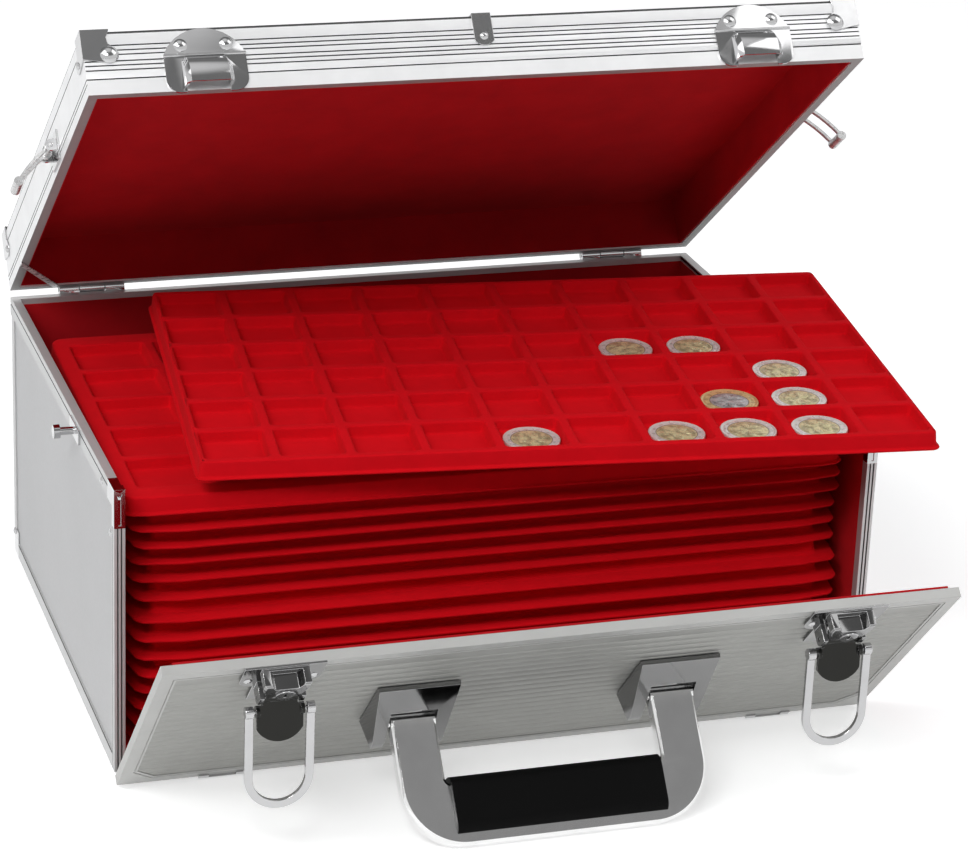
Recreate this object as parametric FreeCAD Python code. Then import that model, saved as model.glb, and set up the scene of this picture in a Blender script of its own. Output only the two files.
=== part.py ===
import FreeCAD, Part
import math
import os

# A coin case: an aluminium-edged carcass with a hinged lid, a front flap that lets down, a stack of
# flat coin trays inside and one tray laid across the top. Millimetres, +X to the right, +Y to the
# back, +Z up. The origin is the centre of the carcass underside; the feet reach below it. The lid
# and the flap are drawn shut, then swung open to their places.

# Overall sizes
case_width = 356.0
case_depth = 252.0
case_height = 135.0
foot_height = 6.0

# Boards, edge metal and linings
board = 2.9
rail_wall = 0.7
post_wall = 1.2
inner_leg = 3.0
lining = 1.0
rim_rail_leg = 9.0
bottom_rail_leg = 8.0
bottom_rail_flange = 12.0
front_channel_depth = 8.0
post_face = 5.0
rear_post_leg = 9.0
rear_post_radius = 3.5
groove_width = 0.6
groove_depth = 0.45
cap_drop = 18.0
cap_run = 14.0
bottom_cap = 14.0
cap_slot_width = 1.2
cap_hole_radius = 1.1
foot_radius = 7.0
foot_inset_x = 28.0
foot_inset_y = 21.0

# Lid
lid_front = 4.0
lid_height = 29.0
lid_gap = 1.0
lid_rail_depth = 4.3
lid_core_height = 25.3
lid_skin = 1.0
lid_flange = 8.0
lid_edge_radius = 1.5
front_groove_heights = (22.2, 20.0, 18.0, 15.1, 13.1, 11.0, 7.0)
side_groove_heights = (22.2, 7.0, 5.0)
lid_cap_wall = 0.7
lid_cap_top_reach = 12.0
lid_cap_drop = 13.0
lid_cap_lobe = 3.9
lid_cap_lobe_inset = 11.0
lid_cap_lobe_drop = 11.0
lid_cap_hook = 1.5
lid_open_angle = 37.87

# Lid hinges
lid_hinge_x = 137.0
lid_hinge_width = 33.0
lid_hinge_offset = 3.2
lid_knuckle_radius = 2.9
lid_end_knuckle = 10.0
lid_pin_radius = 1.2
lid_leaf_height = 14.0
leaf_wall = 1.0
hinge_web = 2.3
knuckle_gap = 0.4
pin_clearance = 0.05

# Lid stay, centre clip and strike plates
stay_width = 3.0
stay_thickness = 0.5
stay_side_y = 88.0
stay_hinge_gap = 1.5
clip_width = 9.0
clip_wall = 0.8
clip_drop = 14.5
clip_top_reach = 12.0
strike_x = 126.0
strike_width = 36.0
strike_wall = 1.0
strike_low = -1.0
strike_crease = 16.0
strike_high = 28.0
strike_ridge = 0.7
strike_corner = 6.0
hood_width = 21.0
hood_depth = 6.5
hood_low = 1.5
hood_shoulder = 5.0
hood_wall = 0.9
hood_side_wall = 1.6
hood_mouth = 4.5
hood_edge = 2.0

# Side catches
catch_y = -42.0
catch_plate_length = 18.0
catch_plate_low = 2.0
catch_plate_high = 16.0
catch_pivot_out = 4.0
catch_pivot_height = 9.0
catch_pin_radius = 1.0
catch_ear_thickness = 1.5
catch_ear_radius = 2.6
catch_eye_radius = 2.0
catch_arm_gap = 8.8
catch_arm_width = 2.0
catch_arm_thickness = 1.5
catch_bow = 1.0
catch_reach = 22.0
catch_thumb_radius = 2.2
catch_thumb_length = 12.8
catch_swing = 45.0
keeper_plate_length = 20.0
keeper_plate_height = 7.0
keeper_drop = 5.0
keeper_stem_radius = 1.8
keeper_stem_length = 7.5
keeper_head_radius = 3.2
keeper_head_thickness = 3.0

# Flap
flap_thickness = 6.0
flap_gap = 0.4
flap_height = 133.3
flap_lean = 43.49
flap_trim_width = 7.0
flap_trim_wall = 1.2
flap_trim_edge = 0.8
flap_trim_line = 1.0
flap_skin_wall = 0.8
flute_pitch = 6.0
flute_depth = 0.35
flute_width = 1.1
flap_corner_chamfer = 9.0

# Flap hinges
flap_hinge_x = 130.5
flap_hinge_width = 22.0
flap_knuckle_radius = 2.0
flap_pin_radius = 0.9
flap_end_knuckle = 5.0
flap_leaf_reach = 20.0
flap_tab_height = 2.2
flap_hinge_wall = 0.8

# Latches, measured up the flap from its hinge line and out from its face
latch_x = 126.0
latch_plate_width = 35.0
latch_plate_low = 98.0
latch_plate_waist = 22.0
latch_plate_wall = 1.0
latch_plate_shoulder = 120.0
housing_top_width = 20.0
housing_low_width = 15.0
housing_low = 117.5
housing_high = 132.0
housing_out = 9.0
housing_shoulder = 127.0
housing_edge = 0.8
housing_notch_top = 14.0
housing_notch_low = 10.0
housing_notch_depth = 4.0
lock_height = 122.5
lock_radius = 3.0
lock_length = 5.0
lock_flange_radius = 4.2
lock_flange = 0.8
key_slot_length = 3.6
key_slot_width = 0.9
key_slot_depth = 2.5
lever_pivot_height = 113.0
lever_pivot_out = 6.0
lever_pin_radius = 1.2
lever_ear_radius = 3.0
lever_ear_thickness = 2.0
lever_ear_inside = 7.9
lever_knuckle_radius = 2.2
lever_wall = 1.4
lever_low_width = 20.0
lever_length = 20.5
lever_round = 6.0
lever_flare = 3.0
lever_cheek_inside = 8.8
lever_cheek_thickness = 1.6
lever_cheek_root = 6.0
lever_swing = 46.0
bail_pivot_drop = 6.5
bail_width = 30.0
bail_wire_width = 3.6
bail_wire_thickness = 2.2
bail_length = 45.5
bail_eye_radius = 2.6
bail_pin_radius = 0.95

# Carrying handle
handle_x = 59.5
bracket_width = 37.0
bracket_low = 52.0
bracket_high = 92.0
bracket_out_low = 13.0
bracket_out_high = 2.0
bracket_shoulder = 5.0
bracket_flank = 2.5
bracket_recess_high = 77.0
bracket_recess_floor = 2.0
handle_pivot_height = 67.7
handle_pivot_out = 8.0
handle_leg_width = 20.0
handle_leg_gap = 0.6
handle_thickness = 8.0
handle_reach = 57.0
handle_corner_radius = 27.0
handle_bar_height = 27.0
handle_inner_radius = 3.0
handle_strip = 4.5
handle_edge = 1.2
handle_pin_radius = 1.5
handle_pin_length = 4.0
grip_length = 96.0
grip_thickness = 14.0
grip_overlap = 3.5
grip_radius = 5.5

# Trays and coins
tray_width = 337.0
tray_depth = 207.5
tray_height = 8.2
tray_flange = 1.5
stack_flange = 3.0
stack_corner = 4.7
tray_flange_wall = 1.0
tray_draft = 0.5
tray_corner_radius = 8.0
tray_side_margin = 2.75
tray_end_margin = 4.4
pocket_wall = 4.5
pocket_floor = 3.0
stack_gap = 0.4
stack_seat = 0.3
# Each stacked tray's turn in degrees, shift to the right and front edge, from the lowest up
stack_places = ((-0.3, 1.2, -116.0), (0.1, 0.8, -115.2), (-0.4, 1.6, -117.0), (-0.1, 1.0, -116.4),
                (0.2, 1.4, -118.2), (-0.2, 0.9, -119.0), (-0.5, 1.5, -119.6), (-0.3, 1.1, -117.6),
                (-0.1, 1.7, -112.8), (-0.4, 1.3, -112.4), (-0.6, 1.0, -113.0), (-0.3, 1.6, -115.0),
                (-0.8, 0.6, -117.4), (-1.5, -1.6, -119.5))
# The loose tray's middle, then its turn, its slope to the front and its slope to the left
loose_place = (38.1, -36.3, 137.36)
loose_yaw = -6.33
loose_pitch = 1.77
loose_roll = -0.38
loose_columns = 10
loose_rows = 6
top_columns = 8
top_rows = 5
lower_columns = 4
lower_rows = 3
coin_diameter = 25.75
odd_coin_diameter = 27.0
coin_thickness = 2.2
# Pockets that hold a coin, as row from the back and column from the left, counted from nought
coin_pockets = ((2, 6), (2, 7), (3, 8), (4, 8), (5, 4), (5, 6), (5, 7), (5, 8))
odd_coin_pocket = (4, 7)

half_width = case_width / 2
half_depth = case_depth / 2
board_face = half_width - rail_wall
board_inner = board_face - board
wall_face = board_inner - lining
floor_face = rail_wall + board + lining
lid_front_face = -half_depth - lid_front
lid_back_face = half_depth
lid_base = case_height + lid_gap
flap_face = -half_depth - flap_thickness
flap_inner_face = -half_depth - flap_gap
fine = 0.01


def box(x0, x1, y0, y1, z0, z1):
    corner = FreeCAD.Vector(min(x0, x1), min(y0, y1), min(z0, z1))
    return Part.makeBox(abs(x1 - x0), abs(y1 - y0), abs(z1 - z0), corner)


def point(axis, u, v, along):
    if axis == "x":
        return FreeCAD.Vector(along, u, v)
    if axis == "y":
        return FreeCAD.Vector(u, along, v)
    return FreeCAD.Vector(u, v, along)


def direction(axis, length):
    return point(axis, 0, 0, length)


def prism(outline, axis, low, high):
    # A flat outline carried along one axis. The outline holds corner points, and a middle entry of
    # three values (u, v, "arc") marks the point halfway round an arc between its two neighbours.
    edges = []
    places = [point(axis, entry[0], entry[1], low) for entry in outline]
    count = len(outline)
    index = 0
    while index < count:
        after = (index + 1) % count
        if len(outline[after]) == 3:
            end = (index + 2) % count
            edges.append(Part.Arc(places[index], places[after], places[end]).toShape())
            index += 2
        else:
            edges.append(Part.makeLine(places[index], places[after]))
            index += 1
    return Part.Face(Part.Wire(edges)).extrude(direction(axis, high - low))


def rod(start, end, radius):
    run = end.sub(start)
    return Part.makeCylinder(radius, run.Length, start, run)


def rod_x(x0, x1, y, z, radius):
    return rod(FreeCAD.Vector(x0, y, z), FreeCAD.Vector(x1, y, z), radius)


def mirrored(shape):
    return shape.mirror(FreeCAD.Vector(0, 0, 0), FreeCAD.Vector(1, 0, 0))


def both_sides(shape):
    return [shape, mirrored(shape)]


def moved(shape, x=0.0, y=0.0, z=0.0):
    copy = shape.copy()
    copy.translate(FreeCAD.Vector(x, y, z))
    return copy


def turned(shape, centre, axis, angle):
    copy = shape.copy()
    copy.rotate(centre, axis, angle)
    return copy


def rounded_outline(width, depth, radius, z):
    # The wire of a rectangle with round corners, centred on the origin.
    x = width / 2
    y = depth / 2
    bend = radius * (1 - math.sqrt(0.5))
    corners = [(x, y, 1, 1), (-x, y, -1, 1), (-x, -y, -1, -1), (x, -y, 1, -1)]
    edges = []
    ends = []
    for cx, cy, sx, sy in corners:
        on_side = FreeCAD.Vector(cx, cy - sy * radius, z)
        on_end = FreeCAD.Vector(cx - sx * radius, cy, z)
        middle = FreeCAD.Vector(cx - sx * bend, cy - sy * bend, z)
        first, last = (on_side, on_end) if sx * sy > 0 else (on_end, on_side)
        ends.append((first, last))
        edges.append(Part.Arc(first, middle, last).toShape())
    joined = []
    for index, edge in enumerate(edges):
        joined.append(edge)
        joined.append(Part.makeLine(ends[index][1], ends[(index + 1) % 4][0]))
    return Part.Wire(joined)


# Where the moving groups swing

lid_axis = FreeCAD.Vector(0, half_depth + lid_hinge_offset, lid_base)
flap_axis = FreeCAD.Vector(0, -half_depth, 0)
lever_axis = FreeCAD.Vector(0, flap_face - lever_pivot_out, lever_pivot_height)
bail_axis = FreeCAD.Vector(0, flap_face - lever_pivot_out, lever_pivot_height - bail_pivot_drop)
handle_axis = FreeCAD.Vector(0, flap_face - handle_pivot_out, handle_pivot_height)
across = FreeCAD.Vector(1, 0, 0)
along = FreeCAD.Vector(0, 1, 0)
upright = FreeCAD.Vector(0, 0, 1)


def lid_opened(shape):
    return turned(shape, lid_axis, across, -lid_open_angle)


def flap_leaned(shape):
    return turned(shape, flap_axis, across, flap_lean)


def lever_swung(shape):
    return flap_leaned(turned(shape, lever_axis, across, -lever_swing))


def bail_hung(shape):
    # The bails hang straight down, so they make up what the flap leans beyond the lever.
    return lever_swung(turned(shape, bail_axis, across, lever_swing - flap_lean))


def handle_prop_angle():
    # The handle stands on the table with its far edge and props the flap: its slope from straight
    # down follows from the height of its pivot and the place of that edge.
    out = flap_axis.y - handle_axis.y
    lean = math.radians(flap_lean)
    pivot_height = handle_axis.z * math.cos(lean) - out * math.sin(lean) + foot_height
    half = handle_thickness / 2 - handle_edge
    slope = math.acos(pivot_height / math.hypot(handle_reach, half))
    return math.degrees(slope + math.atan2(half, handle_reach))


def handle_swung(shape):
    swing = flap_lean + handle_prop_angle()
    return flap_leaned(turned(shape, handle_axis, across, -swing))


# Carcass

def side_board():
    # The rear outer edge is rounded to lie inside the rear post.
    shape = box(board_inner, board_face, -half_depth + post_wall, half_depth - rail_wall,
                rail_wall, case_height - rail_wall)
    return shape.common(rear_corner(rail_wall, half_width, rail_wall, case_height - rail_wall))


def base_core():
    return box(-board_inner, board_inner, -half_depth + post_wall, half_depth - rail_wall - board,
               rail_wall, rail_wall + board)


def base_board(flush):
    # The base is flush with the metal let into its underside.
    full = box(-board_inner, board_inner, -half_depth + post_wall, half_depth - rail_wall - board,
               0, rail_wall + board)
    return full.cut(flush)


def back_board():
    return box(-board_inner, board_inner, half_depth - rail_wall - board, half_depth - rail_wall,
               rail_wall, case_height - rail_wall)


def carcass_boards():
    return base_core().fuse([back_board()] + both_sides(side_board()))


def rear_corner(inset, length, low, high):
    # An upright block at the rear right corner with its outer edge rounded, set in by an inset.
    x = half_width - inset
    y = half_depth - inset
    radius = rear_post_radius - inset
    bend = radius * (1 - math.sqrt(0.5))
    outline = [(x - length, y), (x - length, -y), (x, -y), (x, y - radius),
               (x - bend, y - bend, "arc"), (x - radius, y)]
    return prism(outline, "z", low, high)


def side_rim_rail(boards):
    rail_end = half_width - lid_rail_depth
    start = -half_depth + cap_run
    outer = box(board_inner, half_width, start, half_depth, case_height - rim_rail_leg, case_height)
    inner = box(rail_end, board_inner, start, half_depth, case_height - inner_leg, case_height)
    groove = box(half_width - groove_depth, half_width, start, half_depth,
                 case_height - inner_leg - groove_width, case_height - inner_leg)
    return outer.fuse(inner).cut(boards).cut(groove).removeSplitter()


def rear_rim_rail(boards):
    rail_end = half_width - lid_rail_depth
    outer = box(-board_inner, board_inner, half_depth - rail_wall - board, half_depth,
                case_height - rim_rail_leg, case_height)
    inner = box(-rail_end, rail_end, half_depth - lid_rail_depth, half_depth - rail_wall - board,
                case_height - inner_leg, case_height)
    ends = [side_rim_rail(boards), mirrored(side_rim_rail(boards))]
    return outer.fuse(inner).cut([boards] + ends).removeSplitter()


def rim_rails(boards):
    return both_sides(side_rim_rail(boards)) + [rear_rim_rail(boards)]


def bottom_side_rail():
    front = -half_depth + post_face
    back = half_depth - bottom_cap
    side = box(half_width - bottom_rail_flange, half_width, front, back, 0, bottom_rail_leg)
    side = side.cut(box(0, board_face, front, back, rail_wall, bottom_rail_leg))
    lip = box(half_width - groove_depth, half_width, front, back,
              bottom_rail_leg - 2 * groove_width, bottom_rail_leg - groove_width)
    return side.cut([lip, front_channel_block()])


def bottom_rear_rail():
    end = half_width - bottom_cap
    rear = box(-end, end, half_depth - bottom_rail_flange, half_depth, 0, bottom_rail_leg)
    return rear.cut(box(-end, end, 0, half_depth - rail_wall, rail_wall, bottom_rail_leg))


def front_channel_block():
    end = half_width - post_face
    return box(-end, end, -half_depth, -half_depth + front_channel_depth,
               0, rail_wall + board + rail_wall)


def front_channel(boards):
    return front_channel_block().cut([boards] + flap_hinge_reliefs())


def bottom_rails(boards):
    # Angles round the foot of the carcass, and a channel over the front edge of the base board.
    return both_sides(bottom_side_rail()) + [bottom_rear_rail(), front_channel(boards)]


def front_post(boards):
    # A channel over the front edge of the side board, with two fine grooves down its face.
    face = box(half_width - post_face, half_width, -half_depth, -half_depth + post_face,
               0, case_height - cap_drop)
    face = face.cut(boards)
    for share in (1, 2):
        x = half_width - share * post_face / 3
        groove = box(x - groove_width / 2, x + groove_width / 2, -half_depth,
                     -half_depth + groove_depth, 0, case_height - cap_drop)
        face = face.cut(groove)
    side_groove = box(half_width - groove_depth, half_width, -half_depth + 2 * post_face / 3,
                      -half_depth + 2 * post_face / 3 + groove_width, 0, case_height - cap_drop)
    return face.cut(side_groove)


def rear_post():
    # An angle with a round outer corner, between the bottom cap and the rim rail.
    low = bottom_cap
    high = case_height - rim_rail_leg
    legs = box(half_width - rear_post_leg, half_width, half_depth - rear_post_leg, half_depth,
               low, high)
    legs = legs.common(rear_corner(0, half_width, low, high))
    return legs.cut(rear_corner(rail_wall, half_width, low, high))


def front_corner_cap(boards):
    # A pressed cap where the post meets the rim rail, with a slot and a small eye on its face.
    down = box(half_width - post_face, half_width, -half_depth, -half_depth + post_face,
               case_height - cap_drop, case_height)
    run = box(board_inner, half_width, -half_depth + post_face, -half_depth + cap_run,
              case_height - rim_rail_leg, case_height)
    inner = box(half_width - lid_rail_depth, board_inner, -half_depth + post_face,
                -half_depth + cap_run, case_height - inner_leg, case_height)
    cap = down.fuse([run, inner]).cut(boards)
    slot_x = half_width - post_face / 2
    slot = box(slot_x - cap_slot_width / 2, slot_x + cap_slot_width / 2, -half_depth,
               -half_depth + groove_depth, case_height - cap_drop + cap_slot_width,
               case_height - 4 * cap_slot_width)
    eye_height = case_height - 2 * cap_slot_width
    eye = rod(FreeCAD.Vector(slot_x, -half_depth, eye_height),
              FreeCAD.Vector(slot_x, -half_depth + groove_depth, eye_height), cap_hole_radius)
    return cap.cut(slot).cut(eye).removeSplitter()


def rear_bottom_cap():
    # A pressed three-way cap on the lower rear corner, hollow where the boards meet.
    outer = box(half_width - bottom_cap, half_width, half_depth - bottom_cap, half_depth,
                0, bottom_cap)
    outer = outer.common(rear_corner(0, half_width, 0, bottom_cap))
    return outer.cut(rear_corner(rail_wall, half_width, rail_wall, bottom_cap))


def rubber_feet():
    feet = []
    for sx in (-1, 1):
        for sy in (-1, 1):
            x = sx * (half_width - foot_inset_x)
            y = sy * (half_depth - foot_inset_y)
            ground = FreeCAD.Vector(x, y, -foot_height)
            feet.append(rod(ground, FreeCAD.Vector(x, y, 0), foot_radius))
    return feet


def wall_linings():
    high = case_height - inner_leg
    back = half_depth - rail_wall - board
    side = box(wall_face, board_inner, -half_depth + post_face, back - lining, floor_face, high)
    rear = box(-board_inner, board_inner, back - lining, back, floor_face, high)
    return both_sides(side) + [rear]


def floor_lining():
    back = half_depth - rail_wall - board
    return box(-board_inner, board_inner, -half_depth + front_channel_depth, back,
               floor_face - lining, floor_face)


def side_keeper():
    # A riveted plate with a mushroom knob for the side catch.
    z = case_height - keeper_drop
    plate = box(half_width, half_width + leaf_wall, catch_y - keeper_plate_length / 2,
                catch_y + keeper_plate_length / 2, z - keeper_plate_height / 2,
                z + keeper_plate_height / 2)
    stem_start = FreeCAD.Vector(half_width, catch_y, z)
    stem_end = FreeCAD.Vector(half_width + keeper_stem_length, catch_y, z)
    stem = rod(stem_start, stem_end, keeper_stem_radius)
    head_end = FreeCAD.Vector(stem_end.x + keeper_head_thickness, catch_y, z)
    head = rod(stem_end, head_end, keeper_head_radius)
    return plate.fuse([stem, head]).removeSplitter()


# Hinges

def knuckle_spans(centre, width, cuts):
    # The stretches along X of the knuckles in turn, with a gap between neighbours.
    low = centre - width / 2
    edges = [low + share * width for share in cuts]
    return [(edges[i] + knuckle_gap / 2, edges[i + 1] - knuckle_gap / 2) for i in range(len(edges) - 1)]


def lid_hinge_leaf(on_lid):
    # Three knuckles in turn; the leaf is a plate on the rear face that its knuckles are rolled from.
    end_share = lid_end_knuckle / lid_hinge_width
    spans = knuckle_spans(lid_hinge_x, lid_hinge_width, (0, end_share, 1 - end_share, 1.0))
    own = spans[1::2] if on_lid else spans[0::2]
    side = 1 if on_lid else -1
    clear = lid_knuckle_radius + knuckle_gap
    y = lid_axis.y
    z = lid_axis.z
    plate = box(lid_hinge_x - lid_hinge_width / 2, lid_hinge_x + lid_hinge_width / 2,
                half_depth, half_depth + leaf_wall, z + side * clear, z + side * lid_leaf_height)
    pieces = []
    for x0, x1 in own:
        pieces.append(rod_x(x0, x1, y, z, lid_knuckle_radius))
        pieces.append(box(x0, x1, half_depth, half_depth + leaf_wall, z, z + side * clear))
        pieces.append(box(x0, x1, half_depth, y, z, z + side * hinge_web))
    leaf = plate.fuse(pieces)
    bore = rod_x(lid_hinge_x - lid_hinge_width, lid_hinge_x + lid_hinge_width, y, z,
                 lid_pin_radius + pin_clearance)
    leaf = leaf.cut(bore)
    return leaf.removeSplitter()


def lid_hinge_pin():
    half = lid_hinge_width / 2
    return rod_x(lid_hinge_x - half, lid_hinge_x + half, lid_axis.y, lid_axis.z, lid_pin_radius)


def flap_hinge_spans():
    end_share = flap_end_knuckle / flap_hinge_width
    return knuckle_spans(flap_hinge_x, flap_hinge_width, (0, end_share, 1 - end_share, 1.0))


def flap_hinge_case_leaf():
    # A plate under the base board whose two end knuckles stand on the hinge line.
    spans = flap_hinge_spans()
    low = -flap_hinge_wall
    back = -half_depth + flap_leaf_reach
    clear = flap_knuckle_radius + knuckle_gap
    plate = box(flap_hinge_x - flap_hinge_width / 2, flap_hinge_x + flap_hinge_width / 2,
                -half_depth + clear, back, low, 0)
    pieces = []
    for x0, x1 in (spans[0], spans[2]):
        pieces.append(rod_x(x0, x1, flap_axis.y, flap_axis.z, flap_knuckle_radius))
        pieces.append(box(x0, x1, -half_depth, -half_depth + clear, low, 0))
    bore = rod_x(flap_hinge_x - flap_hinge_width, flap_hinge_x + flap_hinge_width,
                 flap_axis.y, flap_axis.z, flap_pin_radius + pin_clearance)
    return plate.fuse(pieces).cut(bore).removeSplitter()


def flap_hinge_flap_leaf():
    # The middle knuckle, a plate under the flap's lower edge and two tabs folded up its face.
    spans = flap_hinge_spans()
    x0, x1 = spans[1]
    low = -flap_hinge_wall
    outer = flap_face - flap_hinge_wall
    knuckle = rod_x(x0, x1, flap_axis.y, flap_axis.z, flap_knuckle_radius)
    neck = box(x0, x1, flap_face, -half_depth, low, 0)
    wide = box(spans[0][0], spans[2][1], outer, -half_depth - flap_knuckle_radius - knuckle_gap, low, 0)
    pieces = [neck, wide]
    for start, end in (spans[0], spans[2]):
        pieces.append(box(start, end, outer, flap_face, low, flap_tab_height))
    bore = rod_x(x0, x1, flap_axis.y, flap_axis.z, flap_pin_radius + pin_clearance)
    return knuckle.fuse(pieces).cut(bore).removeSplitter()


def flap_hinge_pin():
    half = flap_hinge_width / 2
    return rod_x(flap_hinge_x - half, flap_hinge_x + half, flap_axis.y, flap_axis.z, flap_pin_radius)


def flap_hinge_reliefs():
    # Pockets round the hinge line, cut in the base channel and in the lower edge of the flap.
    half = flap_hinge_width / 2 + knuckle_gap
    relief = rod_x(flap_hinge_x - half, flap_hinge_x + half, flap_axis.y, flap_axis.z,
                   flap_knuckle_radius + knuckle_gap)
    return both_sides(relief)


# Lid

def lid_rail_outline(groove_heights):
    # The rail seen along its length: u is the distance in from its outer face, v the height.
    bend = lid_edge_radius * (1 - math.sqrt(0.5))
    outline = [(0, 0), (lid_rail_depth, 0), (lid_rail_depth, lid_core_height),
               (lid_skin, lid_core_height), (lid_skin, lid_core_height + board),
               (lid_flange, lid_core_height + board), (lid_flange, lid_height),
               (lid_edge_radius, lid_height), (bend, lid_height - bend, "arc"),
               (0, lid_height - lid_edge_radius)]
    for height in groove_heights:
        outline.append((0, height + groove_width / 2))
        outline.append((groove_depth, height))
        outline.append((0, height - groove_width / 2))
    return outline


def placed_outline(outline, face, inward):
    placed = []
    for entry in outline:
        spot = (face + inward * entry[0], lid_base + entry[1])
        placed.append(spot if len(entry) == 2 else spot + ("arc",))
    return placed


def mitre_wedge(corners):
    return prism(corners, "z", lid_base - 1, lid_base + lid_height + 1)


def lid_rails():
    front = lid_front_face
    back = lid_back_face
    deep = lid_flange
    x = half_width
    front_rail = prism(placed_outline(lid_rail_outline(front_groove_heights), front, 1), "x", -x, x)
    front_rail = front_rail.common(mitre_wedge([(-x, front), (x, front), (x - deep, front + deep),
                                                (-x + deep, front + deep)]))
    back_rail = prism(placed_outline(lid_rail_outline(side_groove_heights), back, -1), "x", -x, x)
    back_rail = back_rail.common(mitre_wedge([(-x, back), (x, back), (x - deep, back - deep),
                                              (-x + deep, back - deep)]))
    side_rail = prism(placed_outline(lid_rail_outline(side_groove_heights), x, -1), "y", front, back)
    side_rail = side_rail.common(mitre_wedge([(x, front), (x, back), (x - deep, back - deep),
                                              (x - deep, front + deep)]))
    return [front_rail, back_rail] + both_sides(side_rail)


def lid_panel():
    return box(-half_width + lid_skin, half_width - lid_skin, lid_front_face + lid_skin,
               lid_back_face - lid_skin, lid_base + lid_core_height, lid_base + lid_core_height + board)


def lid_lining():
    x = half_width - lid_rail_depth
    front = lid_front_face + lid_rail_depth
    back = lid_back_face - lid_rail_depth
    outer = box(-x, x, front, back, lid_base + rail_wall, lid_base + lid_core_height)
    inner = box(-x + lining, x - lining, front + lining, back - lining, lid_base,
                lid_base + lid_core_height - lining)
    return outer.cut(inner)


def lid_cap_patch():
    # One face of a lid corner cap: a hooked patch that ends in a round lobe. u runs in from the
    # corner, v up from the lid's lip.
    top = lid_height
    reach = lid_cap_top_reach
    drop = lid_height - lid_cap_lobe_drop
    lobe = [(lid_cap_lobe_inset + lid_cap_lobe * math.cos(math.radians(angle)),
             drop + lid_cap_lobe * math.sin(math.radians(angle))) for angle in (50, 0, -105)]
    return [(0, top), (reach, top), (reach - lid_cap_hook, top - 2 * lid_cap_hook),
            (lid_cap_lobe_inset, top - 4 * lid_cap_hook), lobe[0], lobe[1] + ("arc",), lobe[2],
            (0, top - lid_cap_drop)]


def lid_corner_cap(face_y, inward):
    # A three-way cap: a patch on the front or rear rail, one on the side rail and one on the top.
    patch = lid_cap_patch()
    x_outer = half_width + lid_cap_wall
    y_outer = face_y - inward * lid_cap_wall
    top = lid_base + lid_height

    def with_place(spots, put):
        return [put(entry) + (("arc",) if len(entry) == 3 else ()) for entry in spots]

    on_end = with_place(patch, lambda e: (half_width - e[0], lid_base + e[1]))
    on_side = with_place(patch, lambda e: (face_y + inward * e[0], lid_base + e[1]))
    end = prism(on_end, "y", min(face_y, y_outer), max(face_y, y_outer))
    side = prism(on_side, "x", half_width, x_outer)
    reach = lid_cap_top_reach
    y_far = face_y + inward * reach
    cover = prism([(x_outer, y_outer), (half_width - reach, y_outer), (half_width - reach, face_y),
                   (half_width, y_far), (x_outer, y_far)], "z", top, top + lid_cap_wall)
    edge_low = top - lid_cap_drop
    edge = box(half_width, x_outer, min(face_y, y_outer), max(face_y, y_outer), edge_low, top)
    return end.fuse([side, cover, edge]).removeSplitter()


def lid_corner_caps():
    front = lid_corner_cap(lid_front_face, 1)
    rear = lid_corner_cap(lid_back_face, -1)
    return both_sides(front) + both_sides(rear)


def hood(width, depth, low, shoulder, high, face):
    # A nose that curves out from its crease, drops straight from its shoulder and is open below.
    rise = high - shoulder
    radius = (depth * depth + rise * rise) / (2 * depth)
    half_turn = math.atan2(rise, radius - depth) / 2
    middle = (face - depth + radius * (1 - math.cos(half_turn)), shoulder + radius * math.sin(half_turn))
    outline = [(face, low), (face - depth, low), (face - depth, shoulder), middle + ("arc",),
               (face, high)]
    return prism([(entry[0], lid_base + entry[1]) + tuple(entry[2:]) for entry in outline], "x",
                 strike_x - width / 2, strike_x + width / 2)


def hood_shell(back):
    # The nose with its two long edges taken off, hollow inside.
    outer = hood(hood_width, hood_depth, hood_low, hood_shoulder, strike_crease - strike_ridge, back)
    rims = [edge for edge in outer.Edges if edge.BoundBox.XLength < fine and edge.BoundBox.ZLength > fine
            and edge.BoundBox.YMin < back - hood_depth / 2]
    outer = outer.makeChamfer(hood_edge, rims)
    inner = hood(hood_width - 2 * hood_side_wall, hood_depth - hood_wall, hood_low - hood_wall,
                 hood_shoulder, strike_crease - hood_mouth, back)
    return outer, inner


def strike_plate():
    # An arched upper part with a crease below it, two round-cornered tabs and the hood between them.
    face = lid_front_face
    back = face - strike_wall
    half = strike_width / 2
    low = lid_base + strike_low
    crease = lid_base + strike_crease
    corner = strike_corner
    bend = corner * (1 - math.sqrt(0.5))
    outline = [(strike_x + half, crease), (strike_x, lid_base + strike_high, "arc"),
               (strike_x - half, crease), (strike_x - half, low + corner),
               (strike_x - half + bend, low + bend, "arc"), (strike_x - half + corner, low),
               (strike_x + half - corner, low), (strike_x + half - bend, low + bend, "arc"),
               (strike_x + half, low + corner)]
    plate = prism(outline, "y", back, face)
    ridge = rod_x(strike_x - half, strike_x + half, back, crease, strike_ridge)
    outer, inner = hood_shell(back)
    window = box(strike_x - hood_width / 2 + hood_wall, strike_x + hood_width / 2 - hood_wall,
                 back - fine, face, low, lid_base + hood_mouth)
    return plate.fuse([ridge, outer]).cut(inner).cut(window).removeSplitter()


def lid_clip():
    top = lid_base + lid_height
    face = lid_front_face
    half = clip_width / 2
    low = lid_base + clip_drop
    leg = prism([(-half, top + clip_wall), (-half, low + half / 2), (0, low, "arc"),
                 (half, low + half / 2), (half, top + clip_wall)], "y", face - clip_wall, face)
    arm = box(-half, half, face, face + clip_top_reach, top, top + clip_wall)
    return leg.fuse(arm).removeSplitter()


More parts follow.
